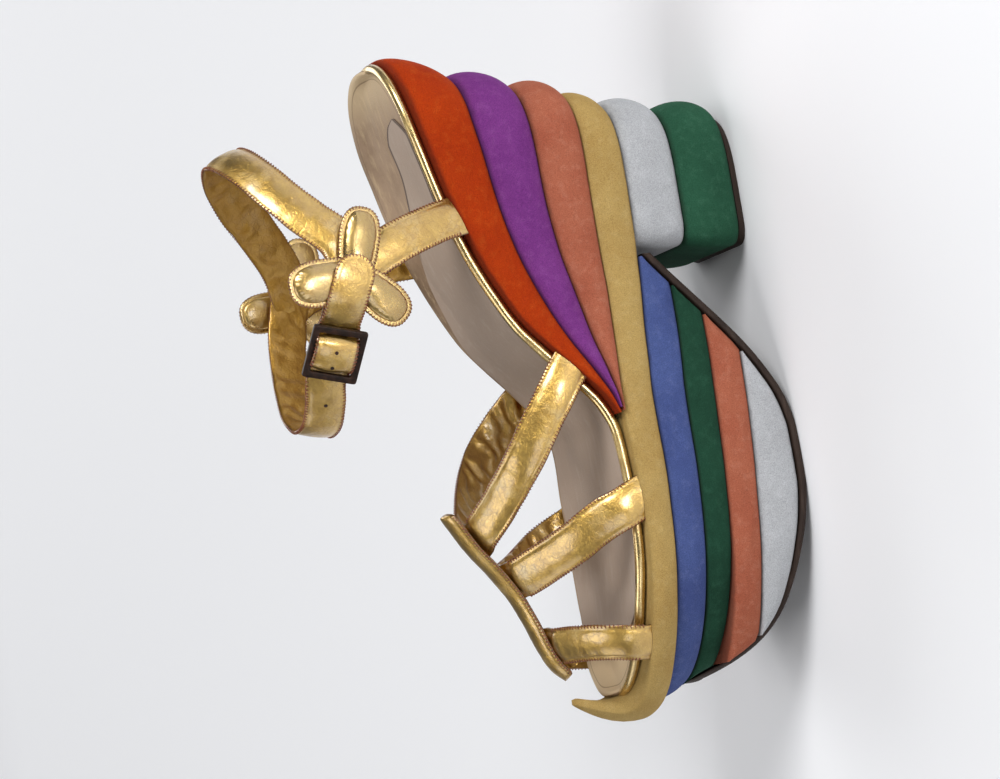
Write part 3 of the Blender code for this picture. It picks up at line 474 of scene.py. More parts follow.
@dataclass(frozen=True)
class SuedeNap:
    """Nap of brushed suede: soft patches where the pile lies over, mottling, fibres, and darkening at the joints that
    is grime and painted shade.
    """

    patch: Noise = (70.0, 3.0, 0.55)
    mottle: Noise = (330.0, 4.0, 0.6)
    pile: Noise = (3000.0, 2.0, 0.6)
    lying: Span = (0.4, 0.72, 0.0, 0.55)
    mottled: Span = (0.5, 0.8, 0.0, 0.5)
    fibres: Span = (0.25, 0.75, 0.70, 1.24)
    ragged: float = 0.25
    # darkening at the joints between layers: grime and painted shade in the creases
    grime_and_shade: Span = (0.86, 1.0, 0.0, 0.62)
    grime_shade_colour: Colour = (0.012, 0.009, 0.007)
    grime_shade_share: float = 0.65
    pile_height: float = 0.6
    mottle_height: float = 0.5
    rough: Span = (0.3, 0.7, 0.86, 1.0)

    def group(self) -> bpy.types.NodeTree:
        """Build the node group.

        Returns:
            The group.
        """
        made = Effect("suede_nap", {"Vector": "vector", "Base": "colour", "Deep": "colour", "Pale": "colour",
                                    "Edge": "value"}, {"Color": "colour", "Height": "value", "Roughness": "value"})
        t, given = made.tree, made.given
        mottle = t.noise(given["Vector"], *self.mottle)
        pile = t.noise(given["Vector"], *self.pile)
        colour = t.mix(t.span(t.noise(given["Vector"], *self.patch), *self.lying), given["Base"], given["Deep"])
        colour = t.mix(t.span(mottle, *self.mottled), colour, given["Pale"])
        fibre = t.span(pile, *self.fibres)
        shade = t.add("ShaderNodeCombineColor", {0: fibre, 1: fibre, 2: fibre}).outputs[0]
        colour = t.mix(1.0, colour, shade, "MULTIPLY")
        # grime and painted shade: darker towards the joints, with a ragged border
        ragged_edge = t.total(given["Edge"], t.times(t.calc("SUBTRACT", mottle, 0.5), self.ragged))
        dark = t.mix(self.grime_shade_share, given["Deep"], opaque(self.grime_shade_colour))
        made.put(Color=t.mix(t.span(ragged_edge, *self.grime_and_shade), colour, dark),
                 Height=t.total(t.times(pile, self.pile_height), t.times(mottle, self.mottle_height)),
                 Roughness=t.span(mottle, *self.rough))
        return made.group


@dataclass(frozen=True)
class KidCrackle:
    """Gilt kid leather: crumpled foil, a net of fine cracks, rubbed patches, and a duller lining side that is also
    darkened, partly as painted shade.
    """

    swirl: Noise = (420.0, 2.0, 0.5)
    swirl_reach: float = 1.6
    patch: Noise = (80.0, 3.0, 0.55)
    crease: Noise = (210.0, 3.0, 0.55)
    wrinkle: Noise = (760.0, 3.0, 0.6)
    grain: Noise = (1500.0, 2.0, 0.5)
    wide_cells: float = 420.0
    wide_crack: Span = (0.0, 0.10, 1.0, 0.0)
    fine_cells: float = 900.0
    fine_crack: Span = (0.0, 0.12, 0.25, 0.0)
    cracked: Span = (0.42, 0.62, 0.1, 0.8)
    rubbed: Span = (0.60, 0.80, 0.0, 1.0)
    rubbed_grain: float = 0.15
    # share of the shade colour in the low places of the crumple: painted shade in its hollows
    crease_shade: Span = (0.34, 0.60, 0.4, 0.0)
    crack_dark: float = 0.55
    worn_edge: Span = (0.62, 0.9, 0.0, 0.5)
    lining_dull_shade: float = 0.6
    raw_edge: Span = (0.84, 0.97, 0.0, 0.75)
    raw: Colour = (0.10, 0.038, 0.016)
    rubbed_dull: float = 0.5
    rough: Span = (0.3, 0.7, 0.20, 0.33)
    crack_rough: float = 0.16
    crumple_rough: float = 0.18
    rubbed_rough: float = 0.2
    crease_height: float = 0.5
    wrinkle_height: float = 1.6
    grain_height: float = 0.04
    crack_depth: float = 0.34
    coat: Span = (0.0, 1.0, 1.0, 0.25)

    def group(self) -> bpy.types.NodeTree:
        """Build the node group.

        Returns:
            The group.
        """
        made = Effect("kid_crackle", {"Vector": "vector", "Gold": "colour", "Shade": "colour", "Bare": "colour",
                                      "Edge": "value", "Inside": "value", "Rub": "value", "Crumple": "value"},
                      {"Color": "colour", "Metallic": "value", "Roughness": "value", "Coat": "value",
                       "Height": "value"})
        t, given = made.tree, made.given
        place, crumple = given["Vector"], given["Crumple"]
        scale, detail, rough = self.swirl
        swirl = t.add("ShaderNodeTexNoise", {"Vector": place, "Scale": scale, "Detail": detail,
                                             "Roughness": rough}).outputs["Color"]
        push = t.add("ShaderNodeVectorMath", {0: swirl, "Scale": self.swirl_reach * MM}, operation="SCALE").outputs[0]
        bent = t.add("ShaderNodeVectorMath", {0: place, 1: push}, operation="ADD").outputs[0]
        patch = t.noise(place, *self.patch)
        crease = t.noise(bent, *self.crease)
        wrinkle = t.noise(bent, *self.wrinkle)
        grain = t.noise(place, *self.grain)
        wide = t.span(t.cells(bent, self.wide_cells), *self.wide_crack)
        fine = t.span(t.cells(bent, self.fine_cells), *self.fine_crack)
        cracks = t.total(t.times(wide, t.span(patch, *self.cracked)), fine)
        rubbed = t.span(t.total(patch, t.times(grain, self.rubbed_grain)), *self.rubbed)
        rubbed = t.times(rubbed, given["Rub"])
        # painted shade: darker where the crumple's relief is low
        colour = t.mix(t.span(crease, *self.crease_shade), given["Gold"], given["Shade"])
        colour = t.mix(t.times(cracks, self.crack_dark), colour, given["Shade"])
        colour = t.mix(rubbed, colour, given["Bare"])
        colour = t.mix(t.span(given["Edge"], *self.worn_edge), colour, given["Shade"])
        # the lining darker: partly a duller leather, partly painted shade inside the straps
        colour = t.mix(t.times(given["Inside"], self.lining_dull_shade), colour, given["Shade"])
        colour = t.mix(t.span(given["Edge"], *self.raw_edge), colour, opaque(self.raw))
        folds = t.total(t.times(crease, t.times(crumple, self.crease_height)),
                        t.times(wrinkle, t.times(crumple, self.wrinkle_height)), t.times(grain, self.grain_height))
        made.put(Color=colour, Metallic=t.calc("SUBTRACT", 1.0, t.times(rubbed, self.rubbed_dull)),
                 Roughness=t.total(t.span(patch, *self.rough), t.times(cracks, self.crack_rough),
                                   t.times(crumple, self.crumple_rough), t.times(rubbed, self.rubbed_rough)),
                 Coat=t.span(given["Inside"], *self.coat),
                 Height=t.calc("SUBTRACT", folds, t.times(cracks, self.crack_depth)))
        return made.group


@dataclass(frozen=True)
class HideGrain:
    """Smooth leather with pores, stains and pale scuffs drawn out along the foot, darker at its edges and joints as
    painted shade.
    """

    cloud: Noise = (38.0, 5.0, 0.6)
    scuff_scale: tuple[float, float, float] = (60.0, 420.0, 420.0)
    scuff: Noise = (1.0, 4.0, 0.65)
    pore_cells: float = 1300.0
    stained: Span = (0.42, 0.7, 0.0, 1.0)
    scuffed: Span = (0.52, 0.78, 0.0, 0.6)
    worn_pale: float = 0.9
    # painted shade: the edges and joints turn to the deep colour
    dark_edge: Span = (0.8, 1.0, 0.0, 0.75)
    pore: Span = (0.0, 0.2, 0.0, 0.3)
    scuff_height: float = 0.7
    rough: Span = (0.3, 0.7, 0.48, 0.74)

    def group(self) -> bpy.types.NodeTree:
        """Build the node group.

        Returns:
            The group.
        """
        made = Effect("hide_grain", {"Vector": "vector", "Base": "colour", "Deep": "colour", "Pale": "colour",
                                     "Edge": "value", "Stain": "value", "Worn": "value"},
                      {"Color": "colour", "Roughness": "value", "Height": "value"})
        t, given = made.tree, made.given
        drawn = t.add("ShaderNodeMapping", {"Vector": given["Vector"], "Scale": self.scuff_scale}).outputs[0]
        scuff = t.noise(drawn, *self.scuff)
        stain = t.times(t.span(t.noise(given["Vector"], *self.cloud), *self.stained), given["Stain"])
        colour = t.mix(stain, given["Base"], given["Deep"])
        colour = t.mix(t.span(scuff, *self.scuffed), colour, given["Pale"])
        colour = t.mix(t.times(given["Worn"], self.worn_pale), colour, given["Pale"])
        pores = t.span(t.cells(given["Vector"], self.pore_cells), *self.pore)
        made.put(Color=t.mix(t.span(given["Edge"], *self.dark_edge), colour, given["Deep"]),
                 Roughness=t.span(scuff, *self.rough), Height=t.total(pores, t.times(scuff, self.scuff_height)))
        return made.group


class Effects:
    """The shared node groups, made once."""

    def __init__(self) -> None:
        """Build the groups."""
        self.suede = SuedeNap().group()
        self.kid = KidCrackle().group()
        self.hide = HideGrain().group()


class Dressing(Tree):
    """The shader tree of a new material, with what a finish reads from the mesh.

    Attributes:
        material: The material.
        shader: Its Principled shader.
        place: Socket of the place on the piece.
        edge: Socket of the closeness to an edge.
        inside: Socket of the lining's share.
    """

    def __init__(self, name: str) -> None:
        """Make the material and the nodes that read the mesh.

        Args:
            name: Name of the material.
        """
        self.material = bpy.data.materials.new(name)
        self.material.use_nodes = True
        super().__init__(self.material.node_tree)
        self.shader = self.tree.nodes["Principled BSDF"]
        self.edge = self.read("near_edge")
        self.inside = self.read("inside")
        self.place = self.add("ShaderNodeTexCoord").outputs["Object"]

    def read(self, label: str) -> Socket:
        """Read one of the mesh's attributes."""
        return self.add("ShaderNodeAttribute", attribute_name=label, attribute_type="GEOMETRY").outputs["Fac"]

    def place_effect(self, effect: bpy.types.NodeTree, inputs: dict) -> bpy.types.bpy_prop_collection:
        """Place a shared effect with its inputs, and give its outputs."""
        return self.add("ShaderNodeGroup", inputs, node_tree=effect).outputs

    def shade(self, inputs: dict) -> None:
        """Link or set the shader's inputs."""
        self.fill(self.shader, inputs)

    def bump(self, height: Socket, strength: float, depth: float) -> None:
        """Feed a height in millimetres of depth to the shader's normal."""
        node = self.add("ShaderNodeBump", {"Strength": strength, "Distance": depth * MM, "Height": height})
        self.shade({"Normal": node.outputs[0]})


@dataclass(frozen=True)
class Suede:
    """Brushed suede over a sole layer."""

    name: str
    base: Colour
    deep: Colour
    pale: Colour
    sheen: float = 0.22
    sheen_rough: float = 0.45
    specular: float = 0.12
    bump: float = 0.55
    relief: float = 0.35

    def material(self, effects: Effects) -> bpy.types.Material:
        """Build the material.

        Args:
            effects: The shared node groups.

        Returns:
            The material.
        """
        made = Dressing(self.name)
        nap = made.place_effect(effects.suede, {"Vector": made.place, "Edge": made.edge, "Base": opaque(self.base),
                                                "Deep": opaque(self.deep), "Pale": opaque(self.pale)})
        made.shade({"Base Color": nap["Color"], "Roughness": nap["Roughness"], "Specular IOR Level": self.specular,
                    "Sheen Weight": self.sheen, "Sheen Roughness": self.sheen_rough, "Sheen Tint": opaque(self.pale)})
        made.bump(nap["Height"], self.bump, self.relief)
        return made.material


@dataclass(frozen=True)
class GiltKid:
    """Gold-coated kid leather."""

    name: str
    gold: Colour = (0.655, 0.415, 0.092)
    shade: Colour = (0.36, 0.185, 0.030)
    bare: Colour = (0.64, 0.49, 0.22)
    rub: float = 0.7
    crumple: float = 0.5
    coat_rough: float = 0.22
    coat_ior: float = 1.8
    bump: float = 0.8
    relief: float = 0.30

    def material(self, effects: Effects) -> bpy.types.Material:
        """Build the material.

        Args:
            effects: The shared node groups.

        Returns:
            The material.
        """
        made = Dressing(self.name)
        kid = made.place_effect(effects.kid, {
            "Vector": made.place, "Edge": made.edge, "Inside": made.inside, "Gold": opaque(self.gold),
            "Shade": opaque(self.shade), "Bare": opaque(self.bare), "Rub": self.rub, "Crumple": self.crumple})
        made.shade({"Base Color": kid["Color"], "Metallic": kid["Metallic"], "Roughness": kid["Roughness"],
                    "Coat Weight": kid["Coat"], "Coat Roughness": self.coat_rough, "Coat IOR": self.coat_ior})
        made.bump(kid["Height"], self.bump, self.relief)
        return made.material


@dataclass(frozen=True)
class Hide:
    """Plain leather of the sock, the outsole and the lift."""

    name: str
    base: Colour
    deep: Colour
    pale: Colour
    stain: float = 0.8
    specular: float = 0.35
    bump: float = 0.5
    relief: float = 0.25

    def material(self, effects: Effects) -> bpy.types.Material:
        """Build the material.

        Args:
            effects: The shared node groups.

        Returns:
            The material.
        """
        made = Dressing(self.name)
        hide = made.place_effect(effects.hide, {
            "Vector": made.place, "Edge": made.edge, "Worn": made.inside, "Base": opaque(self.base),
            "Deep": opaque(self.deep), "Pale": opaque(self.pale), "Stain": self.stain})
        made.shade({"Base Color": hide["Color"], "Roughness": hide["Roughness"], "Specular IOR Level": self.specular})
        made.bump(hide["Height"], self.bump, self.relief)
        return made.material


@dataclass(frozen=True)
class Plain:
    """A finish with one mottled colour: thread, enamelled metal, and the painted shade of punched holes."""

    name: str
    base: Colour
    other: Colour
    cloud: Noise
    rough: float
    specular: float = 0.5
    relief: float = 0.0
    bump: float = 0.5
    mottled: Pair = (0.4, 0.65)

    def material(self) -> bpy.types.Material:
        """Build the material.

        Returns:
            The material.
        """
        made = Dressing(self.name)
        cloud = made.noise(made.place, *self.cloud)
        colour = made.mix(made.span(cloud, *self.mottled), opaque(self.base), opaque(self.other))
        made.shade({"Base Color": colour, "Roughness": self.rough, "Specular IOR Level": self.specular})
        if self.relief:
            made.bump(cloud, self.bump, self.relief)
        return made.material


@dataclass(frozen=True)
class Paper:
    """Backdrop paper: pale round the shoe and grey far out, so that the gold mirrors light and dark."""

    name: str = "studio_paper"
    near: Colour = (0.93, 0.935, 0.955)
    far: Colour = (0.46, 0.46, 0.47)
    start: float = 1.15
    end: float = 2.3
    rough: float = 0.9

    def material(self) -> bpy.types.Material:
        """Build the material: one colour gives way to the other by the distance from the shoe.

        Returns:
            The material.
        """
        made = Dressing(self.name)
        away = made.add("ShaderNodeVectorMath", {0: made.place}, operation="LENGTH").outputs["Value"]
        colour = made.mix(made.span(away, self.start, self.end), opaque(self.near), opaque(self.far))
        made.shade({"Base Color": colour, "Roughness": self.rough})
        return made.material


class Finishes:
    """Every material of the sandal, made once."""

    def __init__(self) -> None:
        """Build the materials."""
        effects = Effects()
        suedes = (
            Suede("orange_suede", (0.36, 0.034, 0.002), (0.26, 0.016, 0.001), (0.47, 0.080, 0.012), 0.14),
            Suede("purple_suede", (0.165, 0.034, 0.190), (0.110, 0.016, 0.135), (0.24, 0.072, 0.26)),
            Suede("coral_suede", (0.355, 0.108, 0.060), (0.27, 0.060, 0.032), (0.46, 0.19, 0.125)),
            Suede("tan_suede", (0.40, 0.270, 0.092), (0.31, 0.185, 0.052), (0.49, 0.36, 0.155)),
            Suede("grey_suede", (0.41, 0.420, 0.435), (0.33, 0.335, 0.345), (0.52, 0.53, 0.55)),
            Suede("green_suede", (0.020, 0.082, 0.045), (0.010, 0.046, 0.025), (0.048, 0.14, 0.085)),
            # a darker copy of the green suede for the forefoot layer: painted shade
            Suede("deep_green_suede", (0.012, 0.052, 0.029), (0.007, 0.030, 0.017), (0.030, 0.095, 0.058)),
            Suede("blue_suede", (0.060, 0.088, 0.235), (0.036, 0.052, 0.165), (0.115, 0.145, 0.31)),
        )
        self.suede = {s.name: s.material(effects) for s in suedes}
        self.strap = GiltKid("gold_leather").material(effects)
        # the petals' gold is set darker than the straps' gold as painted shade
        self.petal = GiltKid("petal_leather", gold=(0.53, 0.350, 0.080), rub=0.1, crumple=0.10, coat_rough=0.24,
                             coat_ior=2.0, relief=0.16).material(effects)
        self.cord = GiltKid("piping_leather", gold=(0.78, 0.57, 0.21), rub=0.1, crumple=0.06, coat_ior=1.9,
                            relief=0.07).material(effects)
        self.insole = Hide("insole_leather", (0.38, 0.268, 0.18), (0.19, 0.122, 0.072), (0.64, 0.49, 0.305),
                           stain=0.95, specular=0.15).material(effects)
        # the sock's near-black deep colour paints the shadow along its raised edge
        self.sock = Hide("sock_leather", (0.42, 0.328, 0.262), (0.050, 0.030, 0.022), (0.51, 0.43, 0.365),
                         stain=0.06, specular=0.15).material(effects)
        self.sole = Hide("brown_leather", (0.034, 0.020, 0.014), (0.014, 0.008, 0.006), (0.085, 0.058, 0.045),
                         specular=0.2).material(effects)
        self.thread = Plain("stitch_thread", (0.17, 0.036, 0.020), (0.30, 0.13, 0.045), (900.0, 4.0, 0.6),
                            rough=0.7).material()
        self.enamel = Plain("buckle_enamel", (0.011, 0.005, 0.003), (0.034, 0.014, 0.008), (420.0, 4.0, 0.6),
                            rough=0.42, specular=0.22, relief=0.12).material()
        # the holes: dark dishes of painted shade
        self.hole_shade = Plain("painted_hole_shade", (0.02, 0.008, 0.004), (0.05, 0.02, 0.01), (900.0, 4.0, 0.6),
                          rough=0.9).material()


@dataclass(frozen=True)
class SoleForm:
    """The sole's outline and lines, shared by every layer."""

    toe_run: float = 58.0
    toe_power: float = 2.15
    toe_centre: float = -3.0
    heel_run: float = 33.0
    seat_power: float = 2.5
    outsole_thick: float = 2.4
    curve_room: float = 0.2
    ends: int = 34
    middle: int = 44

    def line(self, name: str, lift: float = 0.0) -> Line:
        """Height of one of the sole's lines as a function of x."""
        return lambda x: SOLE[name](x) + lift

    def level(self, height: float) -> Line:
        """A flat joint."""
        return lambda x: np.full_like(np.asarray(x, dtype=float), height)

    def under(self, x: Array) -> Array:
        """Underside of the outsole."""
        return FLOOR["floor"](x)

    def over(self, x: Array, room: float = 0.0) -> Array:
        """Upper side of the outsole: thickness and room, square to the sheet, over its underside."""
        inside = np.clip(x, FLOOR_ROWS[0][0] + 0.5, FLOOR_ROWS[-1][0] - 0.5)
        slope = self.under(inside + 0.5) - self.under(inside - 0.5)
        return self.under(x) + (self.outsole_thick + room) * np.sqrt(1.0 + slope ** 2)

    def platform_floor(self, x: Array) -> Array:
        """Lowest line of the platform's layers."""
        return self.over(x, GAP + self.curve_room)

    def round_share(self, run: Array, power: float) -> Array:
        """Width left at a share of a rounded end: (1 - run^p)^(1/p)."""
        return np.clip(1.0 - np.clip(run, 0.0, 1.0) ** power, 0.0, 1.0) ** (1.0 / power)

    def outline(self, x: Array, back: float, front: float, grow: Array | float,
                power: float) -> tuple[Array, Array]:
        """Outer and inner y of the sole's edge, rounded at both ends.

        Args:
            x: Places along the sole.
            back: Back of the heel end.
            front: Front of the toe end.
            grow: How far the edge stands out.
            power: Squareness of the heel end.

        Returns:
            Outer and inner y.
        """
        toe = self.round_share((x - front + self.toe_run) / self.toe_run, self.toe_power)
        share = self.round_share((back + self.heel_run - x) / self.heel_run, power) * toe
        middle = self.toe_centre * (1.0 - toe)
        return middle + share * (PLAN["lateral"](x) + grow), middle - share * (PLAN["medial"](x) + grow)

    def end_steps(self, run: float, power: float, count: int) -> Array:
        """Steps from the tip of a rounded end, even round its curve: run (1 - cos^(2/p))."""
        return run * (1.0 - np.cos(np.linspace(0.0, math.pi / 2, count)) ** (2.0 / power))

    def stations(self, start: float, end: float, round_back: bool, round_front: bool, power: float,
                 ends: int | None = None) -> Array:
        """Places along x of a layer's columns, close together where it is rounded.

        Args:
            start: Back end.
            end: Front end.
            round_back: Whether the back is rounded.
            round_front: Whether the front is rounded.
            power: Squareness of the heel end.
            ends: Columns in a rounded end.

        Returns:
            Places from back to front.
        """
        ends = ends or self.ends
        low = start + self.heel_run if round_back else start
        high = end - self.toe_run if round_front else end
        parts = [np.linspace(low, high, self.middle)]
        if round_back:
            parts.insert(0, start + self.end_steps(self.heel_run, power, ends)[:-1])
        if round_front:
            parts.append(end - self.end_steps(self.toe_run, self.toe_power, ends)[-2::-1])
        return np.concatenate(parts)

    def edge_half(self, x: Array, outer: Array) -> Array:
        """Half width of the sole's edge, on the outer side where that is asked for."""
        lateral, medial = self.outline(x, -self.heel_run, SeatStack.tan_front[1], 0.0, self.seat_power)
        return np.abs(np.where(outer, lateral, medial))


def loop(x: Array, lateral: Array, medial: Array, z: Array, round_back: bool,
         round_front: bool) -> Array:
    """One closed ring: the outer side from back to front, then the inner side from front to back."""
    outer = np.column_stack((x, lateral, z))
    inner = np.column_stack((x, medial, z))
    return np.vstack((outer, inner[1 if round_back else 0:len(x) - 1 if round_front else len(x)][::-1]))


def edge_rows(count: int, margins: Pair, swell: Line) -> list[Pair]:
    """Rows of a sheet's edge from its underside to its upper side, with a flat margin on both.

    Args:
        count: Rows over the edge, whose share of the thickness is (1 - cos t) / 2 for turns t of half a circle.
        margins: Insets of the two rows on each side.
        swell: How far the edge stands out, from sin t.

    Returns:
        Share of the thickness and swell, row by row.
    """
    turn = np.linspace(0.0, math.pi, count)
    edge = zip(((1.0 - np.cos(turn)) / 2.0).tolist(), swell(np.sin(turn)).tolist())
    return [*((0.0, inset) for inset in margins), *edge, *((1.0, inset) for inset in reversed(margins))]


def bulge_rows(amount: float) -> list[Pair]:
    """Rows of a padded suede edge, which stands out by the amount times sin(t)^1.2."""
    return edge_rows(SUEDE_ROWS, SUEDE_MARGINS, lambda sine: amount * sine ** SWELL_POWER)


def suede_waves(x: Array, share: float, seed: int, height: float, across: float, longest: float) -> Array:
    """Slight waves of a suede edge: a ripple over x and the share of its thickness."""
    return height * ripple(x, np.full_like(x, across * share), seed, SHORTEST_WAVE, longest)


@dataclass(frozen=True)
class Layer:
    """A suede-covered layer of the sole between two lines, its edge swelling past its joints.

    Attributes:
        name: The piece's name, that of its node.
        finish: Name of its suede.
        bottom: Line of its underside.
        top: Line of its upper side.
        backs: Back end at the underside and upper side, for a rounded back, or the place of a straight one.
        fronts: Front end at the underside and upper side.
        powers: Squareness of a rounded back at the underside and upper side.
        round_front: Whether the front is the rounded toe.
        amount: Swell of the edge.
        seed: Seed of the suede's waves.
        back_swell: How much more a rounded back swells.
        waves: Height of the suede's waves, their stretch across the edge and the longest.
    """

    name: str
    finish: str
    bottom: Line
    top: Line
    backs: tuple[float, ...]
    fronts: Pair
    powers: Pair
    round_front: bool
    amount: float
    seed: int
    back_swell: float = 1.75
    waves: tuple[float, float, float] = (0.16, 30.0, 40.0)

    def surface(self, form: SoleForm) -> Surface:
        """Stack of rings: each is the sole's outline grown by the swell at its share of the thickness.

        Args:
            form: The sole's form.

        Returns:
            The closed layer.
        """
        round_back = len(self.backs) > 1
        rings, edges = [], []
        for share, out in bulge_rows(self.amount):
            back = between(*self.backs, share) - self.back_swell * out if round_back else self.backs[0]
            power = between(*self.powers, share)
            front = between(*self.fronts, share) + (out if self.round_front else 0.0)
            x = form.stations(back, front, round_back, self.round_front, power)
            toe = front if self.round_front else SeatStack.tan_front[0] + out
            heel = back if round_back else -form.heel_run
            grow = out + suede_waves(x, share, self.seed, *self.waves) * max(out, 0.0) / self.amount
            lateral, medial = form.outline(x, heel, toe, grow, power)
            z = between(self.bottom(x), self.top(x), share)
            rings.append(loop(x, lateral, medial, z, round_back, self.round_front))
            # closeness to the joints, which the finish darkens as grime and painted shade
            edges.append([abs(2.0 * share - 1.0)])
        return Surface(np.array(rings), np.array(edges), Cap.STRIP, Cap.STRIP, round_back=round_back)

    def build(self, form: SoleForm, finishes: Finishes, origin: Array) -> None:
        """Make and dress the layer."""
        # a shaded copy takes the slot of its suede
        slot = self.finish.removeprefix("deep_")
        Piece(self.name, [self.surface(form)], finishes.suede[self.finish], slot, (self.name,)).build(origin)


def reach_of(bottom: Line, top: Line, low: float, high: float, least: float) -> Pair:
    """Stretch of x, between low and high, on which a layer is thicker than its tip."""
    x = np.linspace(low, high, REACH_SAMPLES)
    thick = x[top(x) - bottom(x) > least]
    return float(thick[0]), float(thick[-1])


@dataclass
class SeatStack:
    """The full-length tan layer with its turned-up toe, and the three heel wedges over it."""

    # Back end and squareness of the back at each joint
    joints: dict[str, Pair] = field(default_factory=lambda: {
        "seat": (5.4, 2.5), "orange_purple": (14.6, 2.8), "purple_coral": (20.6, 3.0), "tan_top": (24.4, 3.2),
        "tan_bottom": (29.8, 3.4)})
    wedges: tuple = (("heel_wedge_coral", "coral_suede", "tan_top", "purple_coral", 2.8),
                     ("heel_wedge_purple", "purple_suede", "purple_coral", "orange_purple", 2.8),
                     ("heel_wedge_orange", "orange_suede", "orange_purple", "seat", 2.0))
    wedge_seed: int = 11
    wedge_reach: Pair = (60.0, 140.0)
    wedge_tip: float = 0.45
    tan_front: Pair = (231.0, 234.2)
    tan_swell: float = 1.9
    tan_back_swell: float = 1.75
    tan_waves: tuple[float, float, float] = (0.14, 20.0, 40.0)
    tan_seed: int = 5
    tan_columns: int = 64
    lip_rise: float = 6.6
    lip_spread: float = 12.0
    lip_back: float = 26.0
    lip_run: float = 22.0
    lip_outside: Pair = (0.35, 1.0)
    lip_inside: Pair = (0.1, 1.0)
    lip_depth: float = 12.0
    lip_foot: float = 3.0
    lip_rows: int = 8
    point_rise: float = 11.5
    point_spread: float = 5.5
    point_power: float = 2.4
    point_lean: float = 8.5

    def lip(self, ring: Array, share: float) -> Array:
        """Raise and lean back the toe's lip on a ring: a low swell and a narrow point, both bell curves across.

        Args:
            ring: Points of the ring.
            share: How much of the lip this ring takes part in.

        Returns:
            The moved ring.
        """
        side = ring[:, 1] - SoleForm.toe_centre
        rise = self.lip_rise * np.exp(-(side / self.lip_spread) ** 2)
        rise += self.point_rise * np.exp(-np.abs(side / self.point_spread) ** self.point_power)
        near = np.clip((ring[:, 0] - self.tan_front[1] + self.lip_back) / self.lip_run, 0.0, 1.0)
        rise = rise * share * near
        lean = self.point_lean * share * near * rise / (self.lip_rise + self.point_rise)
        return ring + np.column_stack((-lean, np.zeros_like(rise), rise))

    def tan(self, form: SoleForm) -> Surface:
        """The tan layer: rings over its bulging edge, over the toe's lip and down inside it.

        Args:
            form: The sole's form.

        Returns:
            The closed layer.
        """
        bottom = form.line("tan_bottom", GAP)
        top = form.line("tan_top")
        edge = bulge_rows(self.tan_swell)[:-len(SUEDE_MARGINS)]
        rows = [(share, out, float(ease(*self.lip_outside, share))) for share, out in edge]
        inner = np.linspace(0.0, 1.0, self.lip_rows + 1)[1:]
        rows += [(1.0, -self.lip_depth * way, float(1.0 - ease(*self.lip_inside, way))) for way in inner]
        rows += [(1.0, -self.lip_depth - self.lip_foot, 0.0)]
        rings, edges = [], []
        for share, out, rise in rows:
            back, power = (between(a, b, share) for a, b in zip(self.joints["tan_bottom"], self.joints["tan_top"]))
            back = back - self.tan_back_swell * out
            front = between(*self.tan_front, share) + out
            x = form.stations(back, front, True, True, power, self.tan_columns)
            uneven = suede_waves(x, share, self.tan_seed, *self.tan_waves) * max(out, 0.0) / self.tan_swell
            lateral, medial = form.outline(x, back, front, out + uneven, power)
            z = between(bottom(x), top(x), share)
            rings.append(self.lip(loop(x, lateral, medial, z, True, True), rise))
            # closeness to the lower joint, which the suede darkens as grime and painted shade
            edges.append([1.0 - 2.0 * share if share < 0.5 else 0.5])
        return Surface(np.array(rings), np.array(edges), Cap.STRIP, Cap.STRIP)

    def build(self, form: SoleForm, finishes: Finishes, origin: Array) -> None:
        """Make and dress the tan layer and the wedges."""
        Piece("sole_layer_tan", [self.tan(form)], finishes.suede["tan_suede"], "tan_suede",
              ("sole_layer_tan",)).build(origin)
        for seed, (name, finish, low, high, amount) in enumerate(self.wedges, self.wedge_seed):
            bottom = form.line(low, GAP)
            top = form.line(high)
            tip = reach_of(bottom, top, *self.wedge_reach, self.wedge_tip)[1]
            backs, powers = zip(self.joints[low], self.joints[high])
            Layer(name, finish, bottom, top, backs, (tip, tip), powers, False, amount,
                  seed).build(form, finishes, origin)


